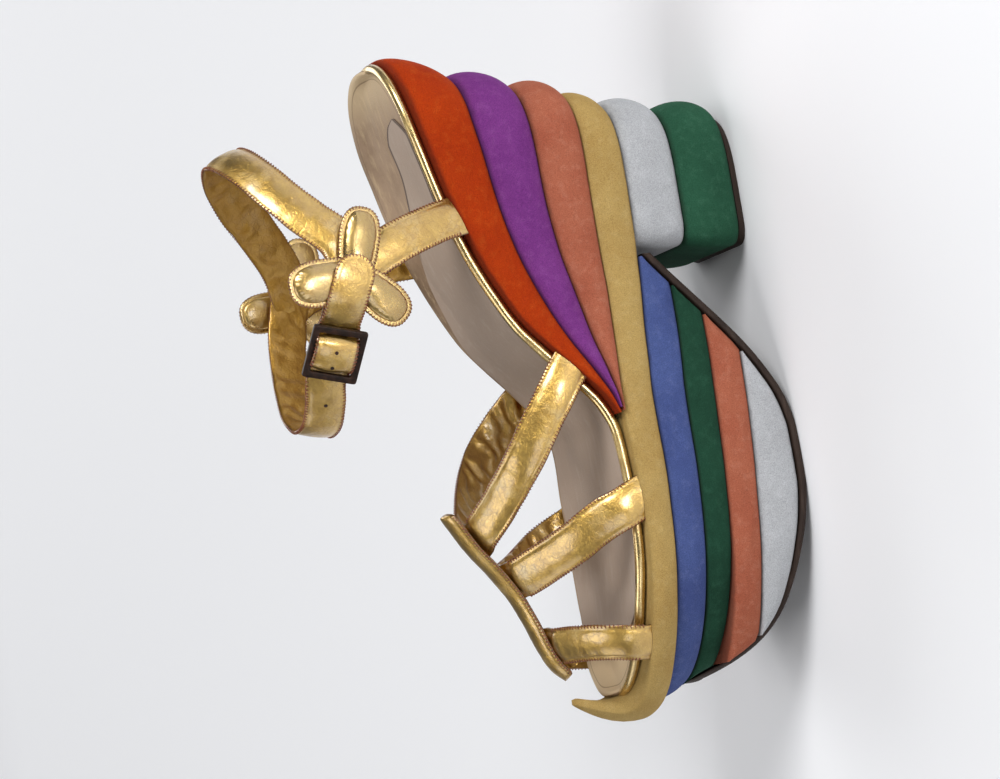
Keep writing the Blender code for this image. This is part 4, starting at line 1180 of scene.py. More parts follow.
@dataclass
class Platform:
    """The leather outsole and the four forefoot layers that its curve cuts off."""

    layers: tuple = (("forefoot_layer_pale", "grey_suede", "", "coral_pale", None),
                     ("forefoot_layer_coral", "coral_suede", "coral_pale", "green_coral", None),
                     ("forefoot_layer_green", "deep_green_suede", "green_coral", "blue_green", (222.6, 224.4)),
                     ("forefoot_layer_blue", "blue_suede", "blue_green", "tan_bottom", (224.4, 228.2)))
    layer_seed: int = 31
    layer_reach: Pair = (83.4, 223.4)
    layer_tip: float = 0.5
    swell: float = 1.5
    outsole_back: float = 82.6
    outsole_front: float = 224.0
    outsole_edge: float = 1.4
    outsole_toe: float = 0.6
    outsole_margins: Pair = (-4.0, -1.0)
    outsole_rows: int = 9
    outsole_columns: int = 48
    # darkness of the outsole edge's top and bottom: painted shade of the joints
    edge_shade: float = 0.9

    def outsole(self, form: SoleForm) -> Surface:
        """The sheet: rings of the sole's outline at shares of its thickness, its edge standing out by sin(t)^0.5.

        Args:
            form: The sole's form.

        Returns:
            The closed sheet.
        """
        rings, edges = [], []
        for share, grow in edge_rows(self.outsole_rows, self.outsole_margins,
                                     lambda sine: self.outsole_edge * np.sqrt(sine)):
            front = self.outsole_front + self.outsole_toe * grow
            x = form.stations(self.outsole_back, front, False, True, form.seat_power, self.outsole_columns)
            lateral, medial = form.outline(x, -form.heel_run, front, grow, form.seat_power)
            rings.append(loop(x, lateral, medial, between(form.under(x), form.over(x), share), False, True))
            edges.append([self.edge_shade * abs(2.0 * share - 1.0)])
        return Surface(np.array(rings), np.array(edges), Cap.STRIP, Cap.STRIP, round_back=False)

    def build(self, form: SoleForm, finishes: Finishes, origin: Array) -> None:
        """Make and dress the outsole and the layers."""
        Piece("outsole", [self.outsole(form)], finishes.sole, "brown_leather", ("outsole",)).build(origin)
        for seed, (name, finish, low, high, fronts) in enumerate(self.layers, self.layer_seed):
            under = form.line(low, GAP) if low else form.platform_floor
            top = form.line(high)

            def bottom(x: Array, under: Line = under) -> Array:
                """The joint below, or the outsole where it is higher."""
                return np.maximum(under(x), form.platform_floor(x))

            start, stop = reach_of(bottom, top, *self.layer_reach, self.layer_tip)
            Layer(name, finish, bottom, top, (start,), fronts or (stop, stop), (form.seat_power, form.seat_power),
                  fronts is not None, self.swell, seed).build(form, finishes, origin)


@dataclass
class HeelBlock:
    """The two heel cushions and the lift under them."""

    # Back end, squareness of the back, breast and taper at each joint
    joints: dict[str, tuple] = field(default_factory=lambda: {
        "tan_bottom": (29.8, 3.4, 80.0, 1.0), "grey_green": (34.4, 3.7, 81.5, 2.2),
        "green_lift": (35.6, 3.7, 83.5, 3.2), "floor": (37.4, 3.7, 84.5, 4.0)})
    grey_green: float = 22.4
    lift_thick: float = 2.4
    lift_short: float = 2.0
    lift_soft: float = 0.35
    lift_power: float = 0.7
    lift_margins: Pair = (-4.0, -1.2)
    lift_rows: int = 9
    swell: float = 2.8
    back_swell: float = 1.75
    waves: tuple[float, float, float] = (0.14, 25.0, 30.0)
    breast_run: float = 8.0
    breast_power: float = 2.2
    breast_share: float = 0.74
    breast_swell: float = 0.55
    breast_columns: int = 16
    side_columns: int = 10
    past_toe: float = 300.0

    def pad(self, form: SoleForm, bottom: Line, top: Line, low: str, high: str, amount: float,
            seed: int) -> Surface:
        """A cushion: rings with a rounded back and rounded front corners, swelling between its joints.

        Args:
            form: The sole's form.
            bottom: Line of the underside.
            top: Line of the upper side.
            low: Name of the joint below.
            high: Name of the joint above.
            amount: Swell of the edge.
            seed: Seed of the unevenness.

        Returns:
            The closed cushion.
        """
        rows = bulge_rows(amount) if amount else edge_rows(
            self.lift_rows, self.lift_margins, lambda sine: self.lift_soft * (sine ** self.lift_power - 1.0))
        rings, edges = [], []
        for share, out in rows:
            back, power, breast, taper = (between(a, b, share) for a, b in zip(self.joints[low], self.joints[high]))
            back = back - self.back_swell * out
            front = breast - (self.breast_swell * (amount - out) if amount else self.lift_short)
            arc = back + form.end_steps(form.heel_run, power, form.ends)[:-1]
            corner = front - form.end_steps(self.breast_run, self.breast_power, self.breast_columns)[::-1]
            x = np.concatenate((arc, np.linspace(back + form.heel_run, corner[0], self.side_columns)[:-1], corner))
            grow = out - taper
            if amount:
                grow = grow + suede_waves(x, share, seed, *self.waves) * max(out, 0.0) / amount
            lateral, medial = form.outline(x, back, self.past_toe, grow, power)
            share_left = form.round_share((x - front + self.breast_run) / self.breast_run, self.breast_power)
            narrow = between(self.breast_share, 1.0, share_left)
            z = between(bottom(x), top(x), share)
            rings.append(loop(x, lateral * narrow, medial * narrow, z, True, False))
            # closeness to the joints, which the finish darkens as painted shade, with grime on the suede
            edges.append([abs(2.0 * share - 1.0)])
        return Surface(np.array(rings), np.array(edges), Cap.STRIP, Cap.STRIP)

    def build(self, form: SoleForm, finishes: Finishes, origin: Array) -> None:
        """Make and dress the lift and the cushions."""
        parts = (("heel_lift", "brown_leather", form.level(0.0), form.level(self.lift_thick),
                  "floor", "green_lift", 0.0),
                 ("heel_pad_green", "green_suede", form.level(self.lift_thick + GAP), form.level(self.grey_green),
                  "green_lift", "grey_green", self.swell),
                 ("heel_pad_grey", "grey_suede", form.level(self.grey_green + GAP), form.line("tan_bottom"),
                  "grey_green", "tan_bottom", self.swell))
        for seed, (name, slot, *sizes) in enumerate(parts, 1):
            finish = finishes.suede.get(slot, finishes.sole)
            Piece(name, [self.pad(form, *sizes, seed)], finish, slot, (name,)).build(origin)


@dataclass(frozen=True)
class Hollow:
    """A bell-shaped hollow worn into the insole: depth, middle, and half length and width."""

    depth: float
    x: float
    y: float
    long: float
    wide: float


@dataclass
class Footbed:
    """The insole, the sock over it and the gold piping round it."""

    insole_thick: float = 1.9
    insole_inset: float = 6.4
    insole_back: float = 9.2
    insole_front: float = 223.0
    insole_edge: tuple = ((0.0, -3.0), (0.0, 0.0), (0.5, 0.0), (0.8, -0.2), (0.95, -0.5), (1.0, -0.9))
    insole_steps: tuple = (1.6, 2.4, 3.0, 3.25, 3.55, 3.8, 5.0, 6.5, 8.0, 11.0, 14.0, 17.0, 20.0)
    edge_fade: float = 3.0
    hem: Pair = (3.25, 3.55)
    hem_dark: float = 0.94
    worn_heel: Pair = (7.0, 30.0)
    worn_toe: Pair = (208.0, 216.0)
    hollows: tuple = (Hollow(0.55, 42.0, 0.0, 18.0, 14.0), Hollow(0.5, 168.0, -2.0, 20.0, 20.0))
    waviness: float = 0.07
    waves: tuple[int, float, float] = (41, 14.0, 60.0)
    rim_rise: float = 2.3
    rim_run: float = 9.0
    toe_curl: float = 0.9
    toe_curl_run: Pair = (196.0, 216.0)
    cover: float = 2.3
    piping_radius: float = 1.7
    piping_inset: float = 4.5
    piping_back: float = 7.3
    piping_front: float = 224.9
    piping_sunk: float = 0.6
    piping_sunk_run: Pair = (-6.0, 8.0)
    piping_sunk_thin: float = 0.35
    piping_pucker: float = 0.012
    piping_waves: tuple[int, float, float] = (51, 3.0, 16.0)
    piping_columns: int = 60
    piping_steps: int = 620
    piping_sides: int = 18
    sock_thick: float = 0.55
    sock_inset: float = 0.9
    sock_start: float = 26.0
    sock_end: float = 212.0
    sock_round: Pair = (7.0, 12.0)
    # the third column darkens the sock's outline as painted shadow of its raised edge
    sock_edge: tuple = ((-0.25, 0.0, 1.0), (0.6, 0.0, 1.0), (1.0, 0.15, 1.0), (1.0, 1.3, 1.0), (1.0, 1.6, 0.9))
    sock_under: tuple[float, float, float] = (-0.25, 1.2, 1.0)
    sock_face: tuple[float, float, float] = (1.0, 1.9, 0.0)
    sock_rows: int = 16
    sock_columns: int = 120
    sock_outline_shade_run: Pair = (62.0, 96.0)

    def dents(self, x: Array, y: Array) -> Array:
        """Wear of the insole: hollows under heel and ball, and a faint waviness."""
        hollow = sum(h.depth * np.exp(-((x - h.x) / h.long) ** 2 - ((y - h.y) / h.wide) ** 2) for h in self.hollows)
        return self.waviness * ripple(x, y, *self.waves) - hollow

    def top(self, form: SoleForm, x: Array, y: Array) -> Array:
        """Height of the insole's worn face, which turns up along its back and its inner side."""
        _, medial = form.outline(x, self.insole_back, self.insole_front, -self.insole_inset, form.seat_power)
        toe = 1.0 + self.toe_curl * ease(*self.toe_curl_run, x)
        turned = self.rim_rise * toe * (1.0 - ease(0.0, self.rim_run, y - medial))
        return SOLE["seat"](x) + GAP + self.insole_thick + self.dents(x, y) + turned

    def insole(self, form: SoleForm) -> Surface:
        """The insole: rings of the outline, drawn in step by step over its worn face.

        At the back, at the toe and along the inner side its edge covers the cord.
        """
        rings, edges, worn = [], [], []
        for share, grow in (*self.insole_edge, *((1.0, -inset) for inset in self.insole_steps)):
            back, front = self.insole_back - self.cover - grow, self.insole_front + self.cover + grow
            x = form.stations(back, front, True, True, form.seat_power)
            lateral, _ = form.outline(x, back, front, grow - self.insole_inset, form.seat_power)
            _, medial = form.outline(x, back, front, grow + self.cover - self.insole_inset, form.seat_power)
            ring = loop(x, lateral, medial, np.zeros_like(x), True, True)
            low = SOLE["seat"](ring[:, 0]) + GAP
            ring[:, 2] = between(low, self.top(form, ring[:, 0], ring[:, 1]), share)
            rings.append(ring)
            # the insole's side wall is darkened as painted shade of the gap beside the cord
            dark = 1.0 if share < 1.0 else max(0.0, 1.0 + grow / self.edge_fade)
            edges.append([self.hem_dark if -grow in self.hem else dark])
            worn.append(1.0 - ease(*self.worn_heel, ring[:, 0]) * (1.0 - ease(*self.worn_toe, ring[:, 0])))
        return Surface(np.array(rings), np.array(edges), Cap.STRIP, Cap.STRIP, inside=np.array(worn))

    def sock(self, form: SoleForm) -> Surface:
        """The sock: a thin sheet on the insole from its curved back edge to the toes, its outline darkened towards the
        heel as painted shadow of that edge.

        Its outer side follows the insole's edge and its inner side the sock's own line; both close in at the ends by
        the root of a parabola.
        """
        u = (1.0 - np.cos(np.linspace(0.0, math.pi, self.sock_columns))) / 2.0
        x = between(self.sock_start, self.sock_end, u)
        lateral, medial = form.outline(x, self.insole_back, self.insole_front, -self.insole_inset - self.sock_inset,
                                       form.seat_power)
        inner = np.maximum(SOCK["inner"](x), medial)
        middle = 0.5 * (lateral + inner)
        half = 0.5 * (lateral - inner)
        close = np.sqrt(np.clip((x - self.sock_start) / self.sock_round[0], 0.0, 1.0)) * np.sqrt(
            np.clip((self.sock_end - x) / self.sock_round[1], 0.0, 1.0))
        rings, edges = [], []
        shares = np.linspace(0.97, 0.03, self.sock_rows).tolist()
        rows = [(share, *self.sock_under) for share in shares[::-1]]
        rows += [(1.0, *row) for row in self.sock_edge]
        rows += [(share, *self.sock_face) for share in shares]
        for share, lift, inset, edge in rows:
            reach = np.maximum(half * close - inset, 0.0) * share
            ring = loop(x, middle + reach, middle - reach, x * 0.0, True, True)
            ring[:, 2] = self.top(form, ring[:, 0], ring[:, 1]) + lift * self.sock_thick
            rings.append(ring)
            # painted shadow along the sock's edge, fading out towards the toe
            edges.append(edge * (1.0 - ease(*self.sock_outline_shade_run, ring[:, 0])))
        return Surface(np.array(rings), np.array(edges), Cap.STRIP, Cap.STRIP)

    def piping(self, form: SoleForm) -> Surface:
        """The cord: a circle carried round the insole, puckered a little along the way.

        It is thinner and lower where the insole's edge covers it. Its underside is darkened as painted shade.
        """
        x = form.stations(self.piping_back, self.piping_front, True, True, form.seat_power, self.piping_columns)
        lateral, medial = form.outline(x, self.piping_back, self.piping_front, -self.piping_inset, form.seat_power)
        slope = SOLE["seat"](x + 0.5) - SOLE["seat"](x - 0.5)
        z = SOLE["seat"](x) + (GAP + self.piping_radius) * np.sqrt(1.0 + slope ** 2)
        ring = loop(x, lateral, medial, z, True, True)
        way = even_path(np.vstack((ring, ring[:1])), self.piping_steps)[:-1]
        sunk = 1.0 - ease(*self.piping_sunk_run, way[:, 1])
        way[:, 2] -= self.piping_sunk * sunk
        along = unit(np.roll(way, -1, axis=0) - np.roll(way, 1, axis=0))
        side = unit(np.cross(along, np.array((0.0, 0.0, 1.0))))
        up = np.cross(side, along)
        turn = around(self.piping_sides)
        reach = np.arange(len(way))[:, None] * 1.0
        pucker = self.piping_pucker * ripple(reach, turn[None, :] * 2.0, *self.piping_waves)
        radius = (self.piping_radius * (1.0 + pucker) * (1.0 - self.piping_sunk_thin * sunk[:, None]))[..., None]
        points = way[:, None] + radius * (np.cos(turn)[None, :, None] * side[:, None]
                                          + np.sin(turn)[None, :, None] * up[:, None])
        # the edge value darkens the cord's underside: painted shade under it
        return Surface(points, np.clip(-np.sin(turn), 0.0, 1.0), ring=True)

    def build(self, form: SoleForm, finishes: Finishes, origin: Array) -> None:
        """Make and dress the insole, the sock and the piping."""
        Piece("insole", [self.insole(form)], finishes.insole, "sock_leather", ("insole",)).build(origin)
        Piece("insole_sock", [self.sock(form)], finishes.sock, "sock_leather").build(origin)
        Piece("insole_piping", [self.piping(form)], finishes.cord, "piping_leather", ("insole_piping",)).build(origin)


def even_path(points: Array, steps: int) -> Array:
    """A polyline read at even steps of its length."""
    reach = lengths(points)
    want = np.linspace(0.0, reach[-1], steps)
    return np.column_stack([np.interp(want, reach, points[:, k]) for k in range(3)])


def smooth_path(rows: tuple, pitch: float) -> Array:
    """A smooth line through rows: Hermite pieces over the chord length, with even steps of about the pitch."""
    knots = np.array(rows, dtype=float)
    reach = lengths(knots)
    slope = np.gradient(knots, reach, axis=0)
    want = np.linspace(0.0, reach[-1], PATH_SAMPLES)
    k = np.clip(np.searchsorted(reach, want, side="right") - 1, 0, len(reach) - 2)
    span = (reach[k + 1] - reach[k])[:, None]
    a, b, c, d = hermite((want - reach[k])[:, None] / span)
    fine = a * knots[k] + b * span * slope[k] + c * knots[k + 1] + d * span * slope[k + 1]
    return even_path(fine, max(PATH_LEAST, round(reach[-1] / pitch)))


ORNAMENT_LATERAL = (79.0, 37.0, 142.0)
ORNAMENT_MEDIAL = (78.0, -36.2, 141.0)


class Facing(Enum):
    """What a strap's outer face turns away from."""

    VAMP = "vamp"
    ANKLE = "ankle"
    BUCKLED = "buckled"


@dataclass(frozen=True)
class BuckleForm:
    """Place and size of the buckle."""

    centre: tuple = (102.7, 30.4, 150.8)
    along: tuple = (14.5, -9.0, 4.0)
    across: tuple = (5.4, 0.0, -16.4)
    half: float = 8.0
    bar: float = 1.05
    bend_room: float = 0.3
    strap_up: float = 0.3
    strap_spread: float = 0.09
    spread_run: float = 1.4
    frame_wide: float = 1.15
    frame_high: float = 1.0
    frame_power: float = 4.5
    square_power: float = 26.0
    square_steps: int = 200
    sides: int = 24
    bar_thin: float = 0.85
    bar_short: float = 0.5
    bar_rows: int = 12

    def axes(self) -> tuple[Array, Array, Array, Array]:
        """Centre and the directions along the strap, across it and outwards."""
        along = unit(np.array(self.along))
        across = np.array(self.across)
        across = unit(across - np.dot(across, along) * along)
        out = np.cross(along, across)
        return np.array(self.centre), along, across, out if out[1] > 0 else -out

    def threaded(self, thick: float) -> list[tuple[float, ...]]:
        """Middle line of the strap: under the front bar, flat over the centre bar, under the back bar."""
        centre, along, across, out = self.axes()
        centre = centre - across * self.strap_up
        clear = self.bar + self.bend_room + thick / 2
        way = ((self.half + 0.8, -clear), (self.half - 1.0, -clear), (0.5 * self.half, 0.6 * clear),
               (0.2 * self.half, 0.9 * clear), (-0.2 * self.half, 0.9 * clear), (-0.5 * self.half, 0.6 * clear),
               (1.0 - self.half, -clear), (-0.8 - self.half, -clear))
        return [tuple(centre + along * place + out * side) for place, side in way]

    def surfaces(self) -> list[Surface]:
        """The frame, a softened square bar carried round a square with sharp corners, and the round centre bar."""
        centre, along, across, out = self.axes()
        u, v = squared_circle(np.linspace(0.0, 2.0 * math.pi, 257), self.square_power)
        way = even_path(np.column_stack((u, v, np.zeros_like(u))), self.square_steps + 1)[:-1]
        ring = around(self.sides)
        wide, high = squared_circle(ring, self.frame_power)
        uu = way[:, 0:1] * (self.half + self.frame_wide * wide)
        vv = way[:, 1:2] * (self.half + self.frame_wide * wide)
        ww = np.broadcast_to(self.frame_high * high, uu.shape)
        points = centre + uu[..., None] * along + vv[..., None] * across + ww[..., None] * out
        end = self.half - self.bar_short
        rod = np.linspace(-end, end, self.bar_rows)
        radius = self.bar_thin * self.bar
        bar = (centre + rod[:, None, None] * across + radius * np.cos(ring)[None, :, None] * along
               + radius * np.sin(ring)[None, :, None] * out)
        return [Surface(points, 0.0, ring=True), Surface(bar, 0.0, Cap.FAN, Cap.FAN)]

    def build(self, finishes: Finishes, origin: Array) -> None:
        """Make and dress the buckle."""
        Piece("buckle_frame", self.surfaces(), finishes.enamel, "dark_metal", ("buckle_frame",)).build(origin)


@dataclass(frozen=True)
class Strap:
    """A strap of folded gilt leather with overcast edges.

    Attributes:
        rows: Points of the middle line.
        facing: What the outer face turns away from.
        width: Width of the strap.
        thick: Thickness of the leather.
        seed: Seed of the wrinkles.
        footed: Whether the first end stands on the seat of the sole.
        round_tip: Whether the last end is rounded.
        crown: How far the edges bend inwards.
        bare: Lengths at the start and the end without stitches.
        tuck: How far the last end dips under another strap.
        blunt: Length over which both ends are rounded off.
        puff: Height of the padding over the stitched margin.
        margin: Width of the stitched margin.
        fold_pitch: Distance between the lining's slanting folds.
        outer_relief: Height of the outer face's wrinkles.
        inner_relief: Height of the lining's folds.
        lining_dull_and_shade: How much duller the lining is than the outer face, and how much darker, that darkening
            partly painted shade.
        pitch: Distance between cross-sections.
    """

    SIDES = 64
    FACE, LINING = 0.30, 0.38  # rise of the outer face and fall of the lining, as shares of the thickness
    LINING_SWELL = 0.3
    HULL_POWER, PUFF_POWER = 12, 0.7
    TIP_LEAST = 0.12
    BLUNT_LEAST, BLUNT_POWER = 0.3, 2.4
    TUCK_RUN = (8.0, 2.0)
    SEAT_ROOM, SEAT_RUN = 0.1, 9.0
    SEAT_STEPS, SEAT_PACE, SEAT_STEEP = 40, 0.7, 0.3
    # Random waves: height, step of the seed, shortest and longest wave
    WRINKLES = (0.85, 0, 5.0, 18.0)
    CREASES = (0.45, 1, 2.4, 6.0)
    SLANT = (1.1, 2, 9.0, 24.0)
    FOLDS = (0.4, 3, 4.0, 12.0)
    WAVER = (0.10, 4, 7.0, 25.0)

    rows: tuple
    facing: Facing
    width: float
    thick: float
    seed: int
    footed: bool = False
    round_tip: bool = False
    crown: float = 0.0
    bare: Pair = (1.5, 1.5)
    tuck: float = 0.0
    blunt: float = 0.0
    puff: float = 1.1
    margin: float = 1.5
    fold_pitch: float = 5.4
    outer_relief: float = 0.045
    inner_relief: float = 0.26
    lining_dull_and_shade: float = 1.0
    pitch: float = 0.75

    def face(self, points: Array, form: SoleForm, buckle: BuckleForm) -> Array:
        """Outward direction at each point of the middle line.

        On the vamp it is the gradient of the last, (y / half width)^2 + (height / ridge)^2; round the ankle it is that
        of an oval, turned to the buckle's face where the strap is threaded.
        """
        x, y, z = points.T
        if self.facing is Facing.VAMP:
            ridge = LAST["ridge"](x)
            fall = (LAST["ridge"](x + 1.0) - LAST["ridge"](x - 1.0)) / 2.0
            outer = y > 0
            side = form.edge_half(x, outer)
            widen = (form.edge_half(x + 1.0, outer) - form.edge_half(x - 1.0, outer)) / 2.0
            up = np.maximum(z - LAST_FLOOR, 0.0)
            return np.column_stack((-fall * up ** 2 / ridge ** 3 - widen * y ** 2 / side ** 3, y / side ** 2,
                                    up / ridge ** 2))
        fore = (x - ANKLE_MIDDLE) / ANKLE_LONG ** 2
        oval = np.column_stack((fore, y / ANKLE_WIDE ** 2, np.where(fore < 0, *ANKLE_LEAN) * fore))
        if self.facing is Facing.ANKLE:
            return oval
        centre, _, _, out = buckle.axes()
        away = np.linalg.norm(points - centre, axis=1)
        share = np.clip((away - buckle.half - 1.0) / buckle.half, 0.0, 1.0)[:, None]
        return unit(oval) * share + out * (1.0 - share)

    def frames(self, form: SoleForm, buckle: BuckleForm) -> tuple[Array, ...]:
        """Middle line, the directions along, outwards and across, the length so far and the share of the width."""
        points = smooth_path(self.rows, self.pitch)
        along = unit(np.gradient(points, axis=0))
        facing = self.face(points, form, buckle)
        out = unit(facing - np.sum(facing * along, axis=1, keepdims=True) * along)
        across = np.cross(out, along)
        reach = lengths(points)
        widths = np.ones(len(points))
        left = reach[-1] - reach
        if self.round_tip:
            widths = between(self.TIP_LEAST, 1.0, form.round_share(1.0 - left / (0.5 * self.width), 2.0))
        if self.blunt:
            end = 1.0 - np.minimum(left, reach) / self.blunt
            widths = between(self.BLUNT_LEAST, 1.0, form.round_share(end, self.BLUNT_POWER))
        if self.facing is Facing.BUCKLED:
            away = np.linalg.norm(points - buckle.axes()[0], axis=1) / buckle.half
            widths = widths * (1.0 + buckle.strap_spread * (1.0 - ease(1.0, buckle.spread_run, away)))
        return points, along, out, across, reach, widths

    def section(self, widths: Array, left: Array) -> tuple[Array, ...]:
        """Place across, closeness to the edge, height and side of a strap's cross-sections.

        The place q is cos t, and the closeness r is its size, or the distance from the middle of a rounded tip. The
        outer face is flat along its stitched margin and rises inside it by the puff times (1 - (r / margin)^2)^0.7;
        the lining swells by 1 - q^2; both close at the edge by (1 - q^12)^(1/2).

        Args:
            widths: Share of the width at each row.
            left: Length left at each row.

        Returns:
            Place by column, closeness and height by row and column, and side by column.
        """
        turn = around(self.SIDES)
        q = np.cos(turn)
        side = np.where(np.arange(self.SIDES) <= self.SIDES // 2, 1.0, -1.0)
        hull = np.sqrt(np.clip(1.0 - q ** self.HULL_POWER, 0.0, 1.0))
        close = np.broadcast_to(np.abs(q), (len(widths), len(q)))
        if self.round_tip:
            tip = np.clip(1.0 - left / (0.5 * self.width), 0.0, 1.0)
            close = np.clip(np.hypot(np.abs(q) * widths[:, None], tip[:, None]), 0.0, 1.0)
        margin = 1.0 - 2.0 * self.margin / self.width
        outer = self.FACE * self.thick + self.puff * np.clip(1.0 - (close / margin) ** 2, 0.0, 1.0) ** self.PUFF_POWER
        lining = self.LINING * self.thick + self.LINING_SWELL * (1.0 - q ** 2)
        return q, close, hull * np.where(side > 0, outer, -lining), side

    def waves(self, kind: tuple, along: Array, across: Array) -> Array:
        """Random waves of one kind over the strap's length and width."""
        height, step, shortest, longest = kind
        return height * ripple(along, across, self.seed + step, shortest, longest)

    def surface(self, form: SoleForm, buckle: BuckleForm) -> Surface:
        """The strap: its cross-section carried along the middle line, wrinkled, with slanting folds in the lining.

        Args:
            form: The sole's form.
            buckle: The buckle's form.

        Returns:
            The closed strap.
        """
        points, along, out, across, reach, widths = self.frames(form, buckle)
        q, close, height, side = self.section(widths, reach[-1] - reach)
        place = 0.5 * self.width * q[None, :] * widths[:, None]
        s = reach[:, None]
        calm = 1.0 - close ** 4
        folds = self.outer_relief * (self.waves(self.WRINKLES, s, place) + self.waves(self.CREASES, s, 0.25 * place))
        slant = 2.0 * math.pi * (s + 0.5 * place) / self.fold_pitch + self.waves(self.SLANT, s, place)
        lining = self.inner_relief * (np.sin(slant) + self.waves(self.FOLDS, s, place))
        lift = height + calm * np.where(side[None, :] > 0, folds, lining)
        lift = lift - self.crown * (place / (0.5 * self.width)) ** 2
        lift = lift - self.tuck * ease(*(reach[-1] - run for run in self.TUCK_RUN), s)
        hand = np.sign(q)[None, :]
        waver = self.waves(self.WAVER, s, 30.0 * hand) * np.abs(q)[None, :] ** 3
        grid = points[:, None] + across[:, None] * (place + waver * hand)[..., None]
        grid = grid + out[:, None] * lift[..., None]
        if self.footed:
            grid = self.seated(grid, along[0], reach)
        return Surface(grid, close ** 3, Cap.FAN, Cap.FAN, inside=np.where(side < 0, self.lining_dull_and_shade, 0.0))

    def seated(self, grid: Array, along: Array, reach: Array) -> Array:
        """Slide the first rows along the strap so that its end lies on the seat, fading out up the strap."""
        ring = grid[0]
        for _ in range(self.SEAT_STEPS):
            short = ring[:, 2] - SOLE["seat"](ring[:, 0]) - self.SEAT_ROOM
            ring = ring - along * (short / max(along[2], self.SEAT_STEEP))[:, None] * self.SEAT_PACE
        fade = 1.0 - ease(0.0, self.SEAT_RUN, reach)
        return grid + (ring - grid[0])[None] * fade[:, None, None]

    def stitches(self, form: SoleForm, buckle: BuckleForm, thread: "Thread") -> list[Array]:
        """Overcast stitches along both edges, and round a rounded tip."""
        points, along, out, across, reach, widths = self.frames(form, buckle)
        made = []

        def at(values: Array) -> Array:
            """Read an array of vectors at the stitches' places along the strap."""
            return np.column_stack([np.interp(want, reach, values[:, k]) for k in range(values.shape[1])])

        if self.round_tip:
            half = 0.5 * self.width
            turn = np.linspace(-0.5 * math.pi, 0.5 * math.pi, round(math.pi * half / thread.pitch))[1:-1]
            want = reach[-1] - half + half * np.cos(turn)
            c, s = np.cos(turn)[:, None], np.sin(turn)[:, None]
            made.append(thread.over_edge(at(points) + at(across) * half * s, at(along) * c + at(across) * s, at(out),
                                         at(across) * c - at(along) * s, self.FACE * self.thick))
        want = np.arange(self.bare[0], reach[-1] - self.bare[1], thread.pitch)
        for side in (-1.0, 1.0):
            width = np.interp(want, reach, widths)
            half = (0.5 * self.width * width)[:, None] * side
            drop = self.crown * width[:, None] ** 2
            base = at(points) + at(across) * half - at(out) * drop
            outward = unit(at(across) * side - at(out) * (2.0 * self.crown / (0.5 * self.width)))
            normal = np.cross(at(along), outward) * side
            normal = np.where(np.sum(normal * at(out), axis=1, keepdims=True) < 0, -normal, normal)
            made.append(thread.over_edge(base, outward, normal, at(along), self.FACE * self.thick))
        return made


@dataclass(frozen=True)
class Thread:
    """Overcast stitches: short threads that lie on the leather and turn over its edge."""

    pitch: float = 1.2
    radius: float = 0.18
    reach: float = 1.0
    slant: float = 0.35
    sides: int = 5

    def over_edge(self, base: Array, outward: Array, normal: Array, along: Array,
                  thick: float) -> Array:
        """Rings of points for every stitch at once.

        A stitch's line runs from the leather's face to its edge and round it; each ring is a small circle square to
        that line.

        Args:
            base: Points on the edge.
            outward: Directions out of the edge.
            normal: Directions out of the face.
            along: Directions along the edge.
            thick: Height of the face over the edge's middle.

        Returns:
            Stitches by rings by sides by three.
        """
        flat = np.array((-self.reach, -0.55 * self.reach, -0.12, 0.02, -0.10))
        high = np.array((thick - 0.02, thick + 0.10, thick - 0.02, 0.02, -0.75 * thick))
        size = self.radius * np.array((0.55, 1.0, 1.05, 1.0, 0.6))
        tilt = np.array((0.0, 0.25, 0.75, 1.0, 1.25)) * math.pi / 2
        lean = self.slant * np.linspace(-0.6, 0.6, 5)
        turn = around(self.sides)
        line = (base[:, None] + outward[:, None] * flat[None, :, None] + normal[:, None] * high[None, :, None]
                + along[:, None] * lean[None, :, None])
        face = normal[:, None] * np.cos(tilt)[None, :, None] + outward[:, None] * np.sin(tilt)[None, :, None]
        round_ = (face[:, :, None] * np.cos(turn)[None, None, :, None]
                  + along[:, None, None] * np.sin(turn)[None, None, :, None])
        return line[:, :, None] + round_ * size[None, :, None, None]

    def surfaces(self, groups: list[Array]) -> list[Surface]:
        """One closed surface for each stitch."""
        return [Surface(stitch, 0.0, Cap.FAN, Cap.FAN) for stitch in np.concatenate(groups)]


